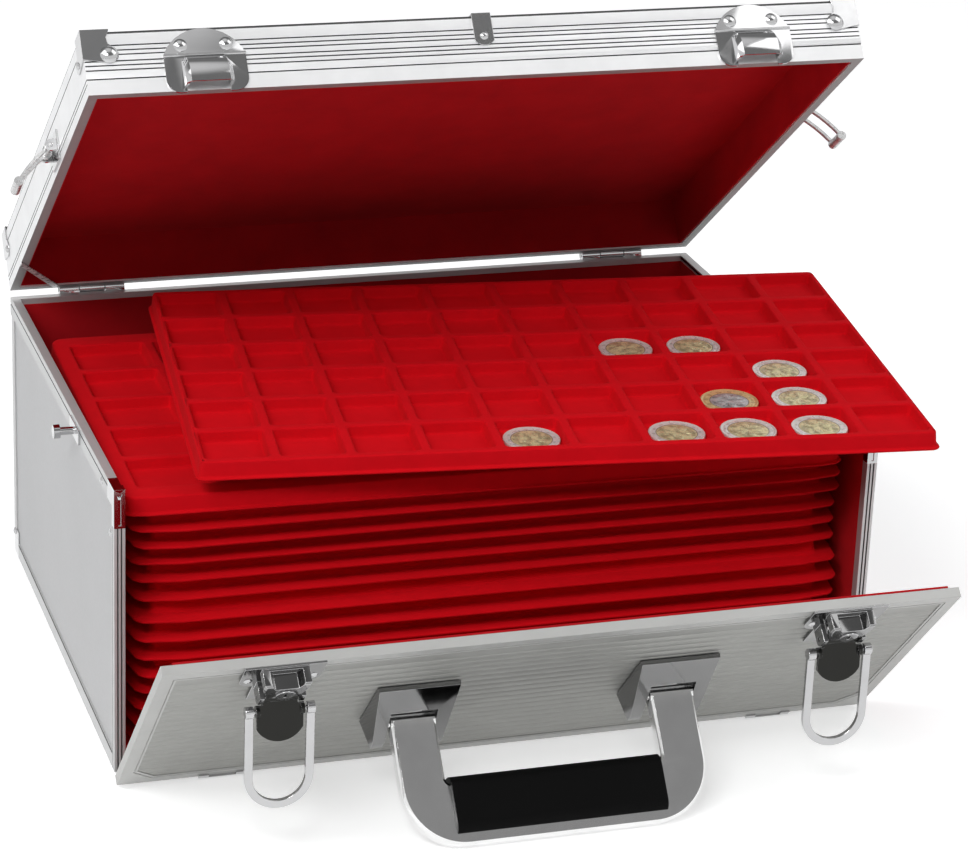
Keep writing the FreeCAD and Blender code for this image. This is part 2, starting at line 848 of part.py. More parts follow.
def lid_stay():
    # A flat strap across the lid's rear left corner, under its lip, from the side to the hinge.
    hinge_end = -(lid_hinge_x + lid_hinge_width / 2 + stay_hinge_gap)
    side_end = -half_width
    rise = half_depth - stay_width - stay_side_y
    run = hinge_end - side_end
    length = math.hypot(rise, run)
    wide_y = stay_width * length / run
    wide_x = stay_width * length / rise
    outline = [(side_end, stay_side_y), (hinge_end - wide_x / 2, half_depth - wide_x / 2),
               (hinge_end, half_depth - wide_x / 2), (hinge_end, half_depth - wide_y),
               (side_end, stay_side_y - wide_y)]
    return prism(outline, "z", lid_base - stay_thickness, lid_base)


def catch_base():
    # A riveted plate on the lid's side with two ears for the lever's pin.
    z = lid_base + catch_pivot_height
    x = half_width + catch_pivot_out
    plate = box(half_width, half_width + leaf_wall, catch_y - catch_plate_length / 2,
                catch_y + catch_plate_length / 2, lid_base + catch_plate_low, lid_base + catch_plate_high)
    inside = catch_arm_gap / 2 + catch_arm_width + knuckle_gap
    pieces = []
    for side in (-1, 1):
        y0 = catch_y + side * inside
        y1 = y0 + side * catch_ear_thickness
        start = FreeCAD.Vector(x, y0, z)
        end = FreeCAD.Vector(x, y1, z)
        pieces.append(rod(start, end, catch_ear_radius))
        pieces.append(box(half_width, x, y0, y1, z - catch_ear_radius, z + catch_ear_radius))
    bore = rod(FreeCAD.Vector(x, catch_y - catch_plate_length, z),
               FreeCAD.Vector(x, catch_y + catch_plate_length, z), catch_pin_radius + pin_clearance)
    return plate.fuse(pieces).cut(bore).removeSplitter()


def catch_lever():
    # Two bowed arms on a pin, joined at their lower end by a rolled thumb piece.
    x = half_width + catch_pivot_out
    z = lid_base + catch_pivot_height
    low = z - catch_reach
    half = catch_arm_thickness / 2
    middle = (z + low) / 2
    outline = [(x - half, z), (x - half + catch_bow, middle, "arc"), (x - half, low),
               (x + half, low), (x + half + catch_bow, middle, "arc"), (x + half, z)]
    pieces = []
    for side in (-1, 1):
        y0 = catch_y + side * catch_arm_gap / 2
        y1 = y0 + side * catch_arm_width
        pieces.append(prism(outline, "y", min(y0, y1), max(y0, y1)))
        pieces.append(rod(FreeCAD.Vector(x, y0, z), FreeCAD.Vector(x, y1, z), catch_eye_radius))
    reach = catch_arm_gap / 2 + catch_arm_width + knuckle_gap + catch_ear_thickness
    pin = rod(FreeCAD.Vector(x, catch_y - reach, z), FreeCAD.Vector(x, catch_y + reach, z),
              catch_pin_radius)
    thumb = rod(FreeCAD.Vector(x, catch_y - catch_thumb_length / 2, low),
                FreeCAD.Vector(x, catch_y + catch_thumb_length / 2, low), catch_thumb_radius)
    return pin.fuse(pieces + [thumb]).removeSplitter()


# Flap

def flap_board():
    x = half_width - flap_trim_edge
    shape = box(-x, x, flap_face + flap_trim_wall, flap_inner_face - lining, flap_trim_edge,
                flap_height - flap_trim_edge)
    for relief in flap_hinge_reliefs():
        shape = shape.cut(relief)
    return shape


def flap_skin():
    # A fluted sheet inside the trim: shallow grooves run along the flap at an even pitch.
    low = flap_trim_width
    high = flap_height - flap_trim_width
    x = half_width - flap_trim_width
    back = flap_face + flap_trim_wall
    face = back - flap_skin_wall
    outline = [(back, low), (face, low)]
    count = int((high - low) / flute_pitch)
    for index in range(count):
        z = low + flute_pitch * (index + 0.5)
        outline += [(face, z - flute_width / 2), (face + flute_depth, z), (face, z + flute_width / 2)]
    outline += [(face, high), (back, high)]
    sheet = prism(outline, "x", -x, x)
    clipped = prism(trim_window(), "y", face - 1, back + 1)
    return sheet.common(clipped)


def trim_window():
    low = flap_trim_width
    high = flap_height - flap_trim_width
    x = half_width - flap_trim_width
    cut = flap_corner_chamfer
    return [(-x + cut, low), (x - cut, low), (x, low + cut), (x, high), (-x, high), (-x, low + cut)]


def grown_window(grown):
    # The window set outward on every side, to the depth of a fine groove.
    outline = [(u + math.copysign(grown, u), v + math.copysign(grown, v - flap_height / 2))
               for u, v in trim_window()]
    return prism(outline, "y", flap_face, flap_face + groove_depth)


def flap_trim():
    # A channel round the flap's four edges; its inner line is cornered at the lower ends.
    outer = box(-half_width, half_width, flap_face, flap_inner_face - lining, 0, flap_height)
    frame = outer.cut(prism(trim_window(), "y", flap_face - 1, flap_inner_face))
    frame = frame.cut(flap_board())
    line = grown_window(flap_trim_line + groove_width).cut(grown_window(flap_trim_line))
    frame = frame.cut(line)
    for relief in flap_hinge_reliefs():
        frame = frame.cut(relief)
    return frame.removeSplitter()


def flap_lining():
    x = half_width - post_face
    shape = box(-x, x, flap_inner_face - lining, flap_inner_face, 2 * flap_knuckle_radius, flap_height)
    return shape


# Latches

def latch_plate_outline():
    # Wide at the top, with round shoulders down to a narrower waist.
    half = latch_plate_width / 2
    waist = latch_plate_waist / 2
    low = latch_plate_low
    shoulder = latch_plate_shoulder
    drop = half - waist
    bend = drop * math.sqrt(0.5)
    return [(latch_x - half, flap_height), (latch_x - half, shoulder),
            (latch_x - waist - bend, shoulder - bend, "arc"), (latch_x - waist, shoulder - drop),
            (latch_x - waist, low), (latch_x + waist, low), (latch_x + waist, shoulder - drop),
            (latch_x + waist + bend, shoulder - bend, "arc"), (latch_x + half, shoulder),
            (latch_x + half, flap_height)]


def latch_base():
    # A plate riveted to the flap, a tapered housing with a notch in its top, and ears for the lever.
    face = flap_face
    plate = prism(latch_plate_outline(), "y", face - latch_plate_wall, face)
    top_half = housing_top_width / 2
    low_half = housing_low_width / 2
    body = prism([(latch_x - low_half, housing_low), (latch_x + low_half, housing_low),
                  (latch_x + top_half, housing_shoulder), (latch_x + top_half, housing_high),
                  (latch_x - top_half, housing_high), (latch_x - top_half, housing_shoulder)],
                 "y", face - housing_out, face)
    rims = [edge for edge in body.Edges if edge.BoundBox.YMax < face - housing_out + 0.1]
    body = body.makeChamfer(housing_edge, rims)
    notch = prism([(latch_x - housing_notch_low / 2, housing_high - housing_notch_depth),
                   (latch_x + housing_notch_low / 2, housing_high - housing_notch_depth),
                   (latch_x + housing_notch_top / 2, housing_high),
                   (latch_x - housing_notch_top / 2, housing_high)], "y",
                  face - housing_out, face - 2 * latch_plate_wall)
    pieces = [body.cut(notch)]
    for side in (-1, 1):
        x0 = latch_x + side * lever_ear_inside
        x1 = x0 + side * lever_ear_thickness
        pieces.append(rod_x(x0, x1, lever_axis.y, lever_axis.z, lever_ear_radius))
        pieces.append(box(x0, x1, lever_axis.y, face, lever_axis.z - lever_ear_radius,
                          lever_axis.z + lever_ear_radius))
        pieces.append(box(x0, x1, lever_axis.y - lever_ear_radius, face, lever_axis.z, housing_low + 1))
    base = plate.fuse(pieces)
    pin_bore = rod_x(latch_x - latch_plate_width, latch_x + latch_plate_width, lever_axis.y,
                     lever_axis.z, lever_pin_radius + pin_clearance)
    return base.cut([pin_bore, lock_plug(pin_clearance)]).removeSplitter()


def lock_plug(grown):
    front = FreeCAD.Vector(latch_x, flap_face - housing_out, lock_height)
    back = FreeCAD.Vector(latch_x, front.y + lock_length + grown, lock_height)
    return rod(front, back, lock_radius + grown)


def lock_cylinder():
    # A plug in the housing with a thin flange in front of it and a slot for the key.
    seat = flap_face - housing_out - pin_clearance
    front = seat - lock_flange
    flange = rod(FreeCAD.Vector(latch_x, front, lock_height),
                 FreeCAD.Vector(latch_x, seat, lock_height), lock_flange_radius)
    neck = rod(FreeCAD.Vector(latch_x, seat, lock_height),
               FreeCAD.Vector(latch_x, seat + 2 * pin_clearance, lock_height), lock_radius)
    slot = box(latch_x - key_slot_width / 2, latch_x + key_slot_width / 2, front,
               front + key_slot_depth, lock_height - key_slot_length / 2,
               lock_height + key_slot_length / 2)
    return flange.fuse([neck, lock_plug(0)]).cut(slot).removeSplitter()


def latch_lever():
    # A thumb lever that widens to a round end, with a knuckle on a pin and two cheeks for the bail.
    y = lever_axis.y
    z = lever_axis.z
    half_top = lever_ear_inside - knuckle_gap
    half_low = lever_low_width / 2
    back = y + lever_wall / 2
    low = z - lever_length
    waist = z - lever_ear_radius - knuckle_gap
    flare = waist - lever_flare
    outline = [(latch_x - half_top, z), (latch_x - half_top, waist), (latch_x - half_low, flare),
               (latch_x - half_low, low + lever_round), (latch_x, low, "arc"),
               (latch_x + half_low, low + lever_round), (latch_x + half_low, flare),
               (latch_x + half_top, waist), (latch_x + half_top, z)]
    plate = prism(outline, "y", back - lever_wall, back)
    knuckle = rod_x(latch_x - half_top, latch_x + half_top, y, z, lever_knuckle_radius)
    reach = lever_ear_inside + lever_ear_thickness
    pieces = [knuckle, rod_x(latch_x - reach, latch_x + reach, y, z, lever_pin_radius)]
    bores = []
    for side in (-1, 1):
        x0 = latch_x + side * lever_cheek_inside
        x1 = x0 + side * lever_cheek_thickness
        pieces.append(rod_x(x0, x1, bail_axis.y, bail_axis.z, bail_eye_radius))
        pieces.append(box(latch_x + side * lever_cheek_root, x1, y - lever_wall / 2, back,
                          bail_axis.z - bail_eye_radius, bail_axis.z + bail_eye_radius))
        bores.append(rod_x(x0 - side * pin_clearance, x1, bail_axis.y, bail_axis.z,
                           bail_pin_radius + pin_clearance))
    return plate.fuse(pieces).cut(bores).removeSplitter()


def latch_bail():
    # A flat wire loop with an eye at each end and a short pin through the lever's cheek.
    y = bail_axis.y
    z = bail_axis.z
    outer = bail_width / 2
    inner = outer - bail_wire_width
    low = z - bail_length
    half = bail_wire_thickness / 2
    outline = [(latch_x - outer, z), (latch_x - outer, low + outer), (latch_x, low, "arc"),
               (latch_x + outer, low + outer), (latch_x + outer, z), (latch_x + inner, z),
               (latch_x + inner, low + outer), (latch_x, low + bail_wire_width, "arc"),
               (latch_x - inner, low + outer), (latch_x - inner, z)]
    loop = prism(outline, "y", y - half, y + half)
    pieces = []
    for side in (-1, 1):
        pieces.append(rod_x(latch_x + side * inner, latch_x + side * outer, y, z, bail_eye_radius))
        pieces.append(rod_x(latch_x + side * lever_cheek_inside, latch_x + side * outer, y, z,
                            bail_pin_radius))
    return loop.fuse(pieces).removeSplitter()


# Carrying handle

def handle_bracket():
    # A wedge that thickens downward, with sloped flanks, a framed shoulder and a recess for the leg.
    face = flap_face
    half = bracket_width / 2
    profile = [(face, bracket_low), (face - bracket_out_low, bracket_low),
               (face - bracket_out_low, bracket_low + bracket_shoulder),
               (face - bracket_out_high, bracket_high), (face, bracket_high)]
    wedge = prism(profile, "x", handle_x - half, handle_x + half)
    out = bracket_out_low
    plan = prism([(handle_x - half, face), (handle_x - half + bracket_flank, face - out),
                  (handle_x + half - bracket_flank, face - out), (handle_x + half, face)], "z",
                 bracket_low, bracket_high)
    wedge = wedge.common(plan)
    leg = handle_leg_width / 2 + handle_leg_gap
    recess = box(handle_x - leg, handle_x + leg, face - 2 * out, face - bracket_recess_floor,
                 bracket_low - 1, bracket_recess_high)
    bore = rod_x(handle_x - leg - handle_pin_length, handle_x + leg + handle_pin_length,
                 handle_axis.y, handle_axis.z, handle_pin_radius + pin_clearance)
    return wedge.cut(recess).cut(bore)


def handle_outline():
    # The bow seen from the front: two legs, round outer corners and the bar between them.
    outer = handle_x + handle_leg_width / 2
    inner = handle_x - handle_leg_width / 2
    top = handle_axis.z
    low = top - handle_reach
    bend = handle_corner_radius * (1 - math.sqrt(0.5))
    bar_top = low + handle_bar_height
    small = handle_inner_radius
    small_bend = small * (1 - math.sqrt(0.5))
    radius = handle_corner_radius
    return [(-outer, top), (-outer, low + radius), (-outer + bend, low + bend, "arc"),
            (-outer + radius, low), (outer - radius, low), (outer - bend, low + bend, "arc"),
            (outer, low + radius), (outer, top), (inner, top), (inner, bar_top + small),
            (inner - small_bend, bar_top + small_bend, "arc"), (inner - small, bar_top),
            (-inner + small, bar_top), (-inner + small_bend, bar_top + small_bend, "arc"),
            (-inner, bar_top + small), (-inner, top)]


def handle_bow():
    y = handle_axis.y
    half = handle_thickness / 2
    bow = prism(handle_outline(), "y", y - half, y + half)
    rims = [edge for edge in bow.Edges if edge.BoundBox.YLength < fine
            and edge.BoundBox.ZMin < handle_axis.z - half]
    bow = bow.makeChamfer(handle_edge, rims)
    pieces = []
    for side in (-1, 1):
        inner = side * (handle_x - handle_leg_width / 2)
        outer = side * (handle_x + handle_leg_width / 2)
        pieces.append(rod_x(inner, outer, y, handle_axis.z, half))
        pin_reach = handle_pin_length - handle_leg_gap
        pieces.append(rod_x(inner - side * pin_reach, outer + side * pin_reach, y, handle_axis.z,
                            handle_pin_radius))
    return bow.fuse(pieces).removeSplitter()


def handle_grip(bow):
    # A soft sleeve round the bar that leaves the bow's lower edge bare as a strip.
    half = grip_length / 2
    thick = grip_thickness / 2
    low = handle_axis.z - handle_reach + handle_strip
    high = handle_axis.z - handle_reach + handle_bar_height + grip_overlap
    sleeve = box(-half, half, handle_axis.y - thick, handle_axis.y + thick, low, high)
    rims = [edge for edge in sleeve.Edges if abs(edge.BoundBox.XLength - grip_length) < fine]
    sleeve = sleeve.makeFillet(grip_radius, rims)
    return sleeve.cut(bow)


# Trays and coins

def pocket_places(columns, rows, flange):
    # Centres and sizes of the pockets, which share the top face evenly between its margins.
    room_x = tray_width - 2 * flange - 2 * tray_side_margin + pocket_wall
    room_y = tray_depth - 2 * flange - 2 * tray_end_margin + pocket_wall
    pitch_x = room_x / columns
    pitch_y = room_y / rows
    places = []
    for row in range(rows):
        for column in range(columns):
            x = (column - (columns - 1) / 2) * pitch_x
            y = ((rows - 1) / 2 - row) * pitch_y
            places.append((row, column, x, y))
    return places, pitch_x - pocket_wall, pitch_y - pocket_wall


def with_pockets(tray, columns, rows, flange):
    places, length, depth = pocket_places(columns, rows, flange)
    pockets = [box(x - length / 2, x + length / 2, y - depth / 2, y + depth / 2, pocket_floor,
                   tray_height + 1) for row, column, x, y in places]
    return tray.cut(Part.makeCompound(pockets)).removeSplitter()


def coin_tray(columns, rows):
    # A pressed tray: a thin flange, a body with slightly drawn-in sides and square pockets.
    flange_wire = rounded_outline(tray_width, tray_depth, tray_corner_radius, 0)
    flange = Part.Face(flange_wire).extrude(FreeCAD.Vector(0, 0, tray_flange_wall))
    low = rounded_outline(tray_width - 2 * tray_flange, tray_depth - 2 * tray_flange,
                          tray_corner_radius - tray_flange, tray_flange_wall)
    high = rounded_outline(tray_width - 2 * tray_flange - 2 * tray_draft,
                           tray_depth - 2 * tray_flange - 2 * tray_draft,
                           tray_corner_radius - tray_flange - tray_draft, tray_height)
    body = Part.makeLoft([low, high], True, True)
    return with_pockets(flange.fuse(body), columns, rows, tray_flange)


def cut_cornered(width, depth, low, high):
    # An upright block whose four corners are cut off straight.
    x = width / 2
    y = depth / 2
    cut = stack_corner
    return prism([(x - cut, -y), (x, cut - y), (x, y - cut), (x - cut, y),
                  (cut - x, y), (-x, y - cut), (-x, cut - y), (cut - x, -y)], "z", low, high)


def plain_tray():
    # The trays under the top one, with a wider flange, fewer faces and larger pockets.
    flange = cut_cornered(tray_width, tray_depth, 0, tray_flange_wall)
    body = cut_cornered(tray_width - 2 * stack_flange, tray_depth - 2 * stack_flange,
                        tray_flange_wall, tray_height)
    return with_pockets(flange.fuse(body), lower_columns, lower_rows, stack_flange)


def tray_placed(shape, yaw, x, y, z):
    return moved(turned(shape, FreeCAD.Vector(0, 0, 0), upright, yaw), x, y, z)


def stack_trays():
    lower = plain_tray()
    upper = coin_tray(top_columns, top_rows)
    trays = []
    for level, (yaw, x, front) in enumerate(stack_places):
        shape = upper if level == len(stack_places) - 1 else lower
        z = floor_face + stack_seat + level * (tray_height + stack_gap)
        trays.append(tray_placed(shape, yaw, x, front + tray_depth / 2, z))
    return trays


def loose_placed(shape):
    # The loose tray is turned, then tipped a little up at its back and at its right end.
    origin = FreeCAD.Vector(0, 0, 0)
    shape = turned(shape, origin, upright, loose_yaw)
    shape = turned(shape, origin, across, loose_pitch)
    shape = turned(shape, origin, along, loose_roll)
    return moved(shape, *loose_place)


def coins():
    places, length, depth = pocket_places(loose_columns, loose_rows, tray_flange)
    pieces = []
    for row, column, x, y in places:
        odd = (row, column) == odd_coin_pocket
        if not odd and (row, column) not in coin_pockets:
            continue
        diameter = odd_coin_diameter if odd else coin_diameter
        foot = FreeCAD.Vector(x, y, pocket_floor)
        pieces.append(Part.makeCylinder(diameter / 2, coin_thickness, foot, upright))
    return [loose_placed(piece) for piece in pieces]


# Assembly

def case_parts():
    boards = carcass_boards()
    rails = bottom_rails(boards)
    rear_caps = both_sides(rear_bottom_cap())
    posts = both_sides(front_post(boards))
    return {
        "base_board": [base_board(rails + rear_caps + posts + flap_hinge_reliefs())],
        "left_side_board": [mirrored(side_board())],
        "right_side_board": [side_board()],
        "back_board": [back_board()],
        "rim_rails": rim_rails(boards),
        "bottom_rails": rails,
        "front_posts": posts,
        "rear_posts": both_sides(rear_post()),
        "case_corner_caps": both_sides(front_corner_cap(boards)) + rear_caps,
        "rubber_feet": rubber_feet(),
        "wall_linings": wall_linings(),
        "floor_lining": [floor_lining()],
        "side_keepers": both_sides(side_keeper()),
        "case_hinge_leaves": both_sides(lid_hinge_leaf(False)) + both_sides(flap_hinge_case_leaf()),
        "hinge_pins": both_sides(lid_hinge_pin()) + both_sides(flap_hinge_pin()),
    }


def lid_parts():
    # Drawn shut, then swung open; the side catches stand out from the lid's sides.
    pivot = FreeCAD.Vector(half_width + catch_pivot_out, 0, lid_base + catch_pivot_height)
    catch = turned(catch_lever(), pivot, along, -catch_swing)
    shut = {
        "lid_panel": [lid_panel()],
        "lid_rails": lid_rails(),
        "lid_lining": [lid_lining()],
        "lid_corner_caps": lid_corner_caps(),
        "strike_plates": both_sides(strike_plate()),
        "lid_clip": [lid_clip()],
        "lid_stay": [lid_stay()],
        "lid_hinge_leaves": both_sides(lid_hinge_leaf(True)),
        "catch_bases": both_sides(catch_base()),
        "side_catch_right": [catch],
        "side_catch_left": [mirrored(catch)],
    }
    return {name: [lid_opened(solid) for solid in solids] for name, solids in shut.items()}


def flap_parts():
    shut = {
        "flap_board": [flap_board()],
        "flap_skin": [flap_skin()],
        "flap_trim": [flap_trim()],
        "flap_lining": [flap_lining()],
        "latch_bases": both_sides(latch_base()),
        "handle_brackets": both_sides(handle_bracket()),
        "flap_hinge_leaves": both_sides(flap_hinge_flap_leaf()),
        "lock_cylinder_right": [lock_cylinder()],
        "lock_cylinder_left": [mirrored(lock_cylinder())],
    }
    return {name: [flap_leaned(solid) for solid in solids] for name, solids in shut.items()}


def hanging_parts():
    lever = lever_swung(latch_lever())
    bail = bail_hung(latch_bail())
    bow = handle_bow()
    return {
        "latch_lever_right": [lever],
        "latch_lever_left": [mirrored(lever)],
        "latch_bail_right": [bail],
        "latch_bail_left": [mirrored(bail)],
        "handle_bow": [handle_swung(bow)],
        "handle_grip": [handle_swung(handle_grip(bow))],
    }


def tray_parts():
    parts = {"tray_%02d" % (level + 1): [tray] for level, tray in enumerate(stack_trays())}
    parts["loose_tray"] = [loose_placed(coin_tray(loose_columns, loose_rows))]
    parts["coins"] = coins()
    return parts


def save(parts):
    os.makedirs("parts", exist_ok=True)
    for name, solids in parts.items():
        shape = solids[0] if len(solids) == 1 else Part.makeCompound(solids)
        shape.exportStep(os.path.join("parts", name + ".step"))
        print(name, len(shape.Solids), round(shape.Volume / 1000, 2), shape.isValid())


save({**case_parts(), **lid_parts(), **flap_parts(), **hanging_parts(), **tray_parts()})
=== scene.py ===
"""An aluminium-edged coin case, open, with its trays and coins, dressed for a studio picture.

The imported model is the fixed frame. The metalwork, the linings, the feet and the grip are shown as
edge-rounded copies of the frame's own nodes. The trays, the coins and the rivet heads are surfaces
worked out here.
"""

import logging
import math
from dataclasses import dataclass, field
from enum import Enum

import bmesh
import bpy
import numpy as np
from mathutils import Matrix, Quaternion, Vector


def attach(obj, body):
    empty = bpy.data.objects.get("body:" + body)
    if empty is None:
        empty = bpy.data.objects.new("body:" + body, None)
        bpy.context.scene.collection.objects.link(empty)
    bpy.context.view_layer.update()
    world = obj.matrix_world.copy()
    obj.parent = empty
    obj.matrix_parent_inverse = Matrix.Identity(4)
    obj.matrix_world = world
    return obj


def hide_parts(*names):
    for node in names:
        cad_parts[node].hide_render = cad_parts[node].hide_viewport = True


LOG = logging.getLogger("coin_case")

MM = 0.001
IMAGE_WIDTH_PX = 968

Colour = tuple[float, float, float]

# Share of a coin's diameter at which its two metals meet
SPLIT = 0.36
ODD_SPLIT = 0.33


# Shared sizes, in metres

CASE_DEPTH = 0.252
FOOT_HEIGHT = 0.006
# Turns from shut, in degrees
FLAP_LEAN = 43.49
LID_OPEN = 37.87
LID_HINGE = (0.0, 0.1292, 0.136)
# Edges sharper than this, in degrees, are rounded and stay crisp in the shading
CRISP_ANGLE = 34.0
# A node whose own crisp angle is this or more, in degrees, keeps soft normals on its rounding
SOFT_ANGLE = 45.0
# Points nearer to each other than this are merged, in metres, in new surfaces and in the frame's nodes
MERGE_NEW = 2e-6
MERGE_FRAME = 4e-6
# Faces of a frame node that turn by less than this are joined, in degrees
FLAT_ANGLE = 0.6
# The steps of a rounded edge of a tray, in radians
QUARTER_ROUND = np.radians([0, 30, 60, 90])


# Materials

class NodeTree:
    """A small helper that adds and links the shader nodes of one material or world."""

    def __init__(self, owner: bpy.types.Material | bpy.types.World) -> None:
        """Starts with an output node alone.

        Args:
            owner: the material or world.
        """
        self.owner = owner
        owner.use_nodes = True
        self.tree = owner.node_tree
        self.tree.nodes.clear()
        kind = "World" if isinstance(owner, bpy.types.World) else "Material"
        self.output = self.add("ShaderNodeOutput" + kind)

    def add(self, kind: str, inputs: dict[str, object] | None = None, **values: object) -> bpy.types.Node:
        """Adds a node and sets its properties and inputs.

        Args:
            kind: the node's type name.
            inputs: values of unlinked inputs by name.
            values: the properties by name.

        Returns:
            The new node.
        """
        node = self.tree.nodes.new(kind)
        for key, value in values.items():
            setattr(node, key, value)
        self.fill(node, inputs or {})
        return node

    def fill(self, node: bpy.types.Node, inputs: dict[str, object]) -> None:
        """Sets a node's unlinked inputs by name."""
        for key, value in inputs.items():
            node.inputs[key].default_value = value

    def link(self, source: bpy.types.NodeSocket, target: bpy.types.NodeSocket) -> None:
        """Links one socket to another."""
        self.tree.links.new(source, target)

    def principled(self, colour: Colour, roughness: float, metallic: float = 0.0) -> bpy.types.Node:
        """Adds the main shader and links it to the output.

        Args:
            colour: linear base colour.
            roughness: surface roughness.
            metallic: 1 for bare metal.

        Returns:
            The shader node.
        """
        shader = self.add("ShaderNodeBsdfPrincipled", {"Base Color": (*colour, 1.0), "Roughness": roughness,
                                                       "Metallic": metallic})
        self.link(shader.outputs["BSDF"], self.output.inputs["Surface"])
        return shader

    def coordinates(self, scale: tuple[float, float, float] = (1.0, 1.0, 1.0),
                    source: str = "Object") -> bpy.types.NodeSocket:
        """Gives scaled coordinates.

        Args:
            scale: scale along each axis.
            source: the coordinate output to read.

        Returns:
            The vector socket.
        """
        place = self.add("ShaderNodeTexCoord")
        mapping = self.add("ShaderNodeMapping", {"Scale": scale})
        self.link(place.outputs[source], mapping.inputs["Vector"])
        return mapping.outputs["Vector"]

    def noise(self, vector: bpy.types.NodeSocket, scale: float, detail: float = 4.0,
              roughness: float = 0.55) -> bpy.types.NodeSocket:
        """Adds a noise texture.

        Args:
            vector: the coordinates it reads.
            scale: its scale.
            detail: its detail.
            roughness: how strong the fine detail is.

        Returns:
            The factor socket.
        """
        texture = self.add("ShaderNodeTexNoise", {"Scale": scale, "Detail": detail, "Roughness": roughness})
        self.link(vector, texture.inputs["Vector"])
        return texture.outputs["Fac"]

    def ranged(self, value: bpy.types.NodeSocket, low: float, high: float, start: float = 0.3,
               end: float = 0.7) -> bpy.types.NodeSocket:
        """Maps a factor to a range, clamped.

        Args:
            value: the factor socket.
            low: result at the start.
            high: result at the end.
            start: factor where the range begins.
            end: factor where the range ends.

        Returns:
            The mapped value.
        """
        node = self.add("ShaderNodeMapRange", {"From Min": start, "From Max": end, "To Min": low,
                                               "To Max": high})
        self.link(value, node.inputs["Value"])
        return node.outputs["Result"]

    def mixed(self, factor: bpy.types.NodeSocket, low: Colour, high: Colour) -> bpy.types.NodeSocket:
        """Blends two colours by a factor.

        Args:
            factor: blend factor socket.
            low: colour at 0.
            high: colour at 1.

        Returns:
            The colour socket.
        """
        node = self.add("ShaderNodeMix", data_type="RGBA")
        colours = [s for s in node.inputs if s.type == "RGBA"]
        colours[0].default_value = (*low, 1.0)
        colours[1].default_value = (*high, 1.0)
        self.link(factor, node.inputs["Factor"])
        return next(s for s in node.outputs if s.type == "RGBA")

    def mixed_input(self, blend: bpy.types.NodeSocket) -> bpy.types.NodeSocket:
        """Gives the socket of the colour at 0 of the blend that made a colour."""
        return next(s for s in blend.node.inputs if s.type == "RGBA")

    def joined(self, operation: str, first: bpy.types.NodeSocket,
               second: bpy.types.NodeSocket) -> bpy.types.NodeSocket:
        """Works out one number from two factors.

        Args:
            operation: the node's name for the sum.
            first: one factor socket.
            second: the other.

        Returns:
            The result.
        """
        node = self.add("ShaderNodeMath", operation=operation)
        self.link(first, node.inputs[0])
        self.link(second, node.inputs[1])
        return node.outputs[0]

    def times(self, first: bpy.types.NodeSocket, second: bpy.types.NodeSocket) -> bpy.types.NodeSocket:
        """Gives the product of two factors."""
        return self.joined("MULTIPLY", first, second)

    def greater(self, first: bpy.types.NodeSocket, second: bpy.types.NodeSocket) -> bpy.types.NodeSocket:
        """Gives the greater of two factors."""
        return self.joined("MAXIMUM", first, second)

    def bump(self, height: bpy.types.NodeSocket, strength: float, distance: float) -> bpy.types.NodeSocket:
        """Adds a bump.

        Args:
            height: height socket.
            strength: bump strength.
            distance: depth in metres.

        Returns:
            The normal socket.
        """
        node = self.add("ShaderNodeBump", {"Strength": strength, "Distance": distance})
        self.link(height, node.inputs["Height"])
        return node.outputs["Normal"]

    def mottled(self, shader: bpy.types.Node, factor: bpy.types.NodeSocket, low: Colour,
                high: Colour) -> None:
        """Gives a shader a base colour that wanders between two colours.

        Args:
            shader: the shader.
            factor: a noise to follow.
            low: colour where the noise is low.
            high: colour where it is high.
        """
        self.link(self.mixed(self.ranged(factor, 0.0, 1.0), low, high), shader.inputs["Base Color"])

    def shown_apart(self, unseen: bpy.types.NodeSocket, shown: bpy.types.NodeSocket) -> None:
        """Sends one shader to camera, glossy and transmission rays and another to the rest.

        Args:
            unseen: the shader that lights the scene.
            shown: the shader that is looked at, also in a reflection.
        """
        path = self.add("ShaderNodeLightPath")
        seen = path.outputs["Is Camera Ray"]
        for kind in ("Is Glossy Ray", "Is Transmission Ray"):
            seen = self.greater(seen, path.outputs[kind])
        blend = self.add("ShaderNodeMixShader")
        self.link(seen, blend.inputs[0])
        self.link(unseen, blend.inputs[1])
        self.link(shown, blend.inputs[2])
        self.link(blend.outputs[0], self.output.inputs["Surface"])


@dataclass(frozen=True)
class Metal:
    """Bare metal: drawn or polished, with faint streaks and small changes of roughness."""

    name: str
    colour: Colour
    roughness: float
    streak: tuple[float, float, float] = (40.0, 40.0, 40.0)
    roughness_spread: float = 0.06
    grain: float = 0.00002
    metallic: float = 1.0

    def material(self) -> bpy.types.Material:
        """Builds the node material.

        Returns:
            The material.
        """
        tree = NodeTree(bpy.data.materials.new(self.name))
        shader = tree.principled(self.colour, self.roughness, self.metallic)
        streaks = tree.noise(tree.coordinates(self.streak), 12.0, 6.0, 0.6)
        wear = tree.noise(tree.coordinates(), 60.0, 3.0)
        rough = tree.ranged(streaks, self.roughness, self.roughness + self.roughness_spread)
        tree.link(rough, shader.inputs["Roughness"])
        darker = tuple(0.93 * c for c in self.colour)
        tree.mottled(shader, wear, self.colour, darker)
        tree.link(tree.bump(streaks, 0.25, self.grain), shader.inputs["Normal"])
        return tree.owner


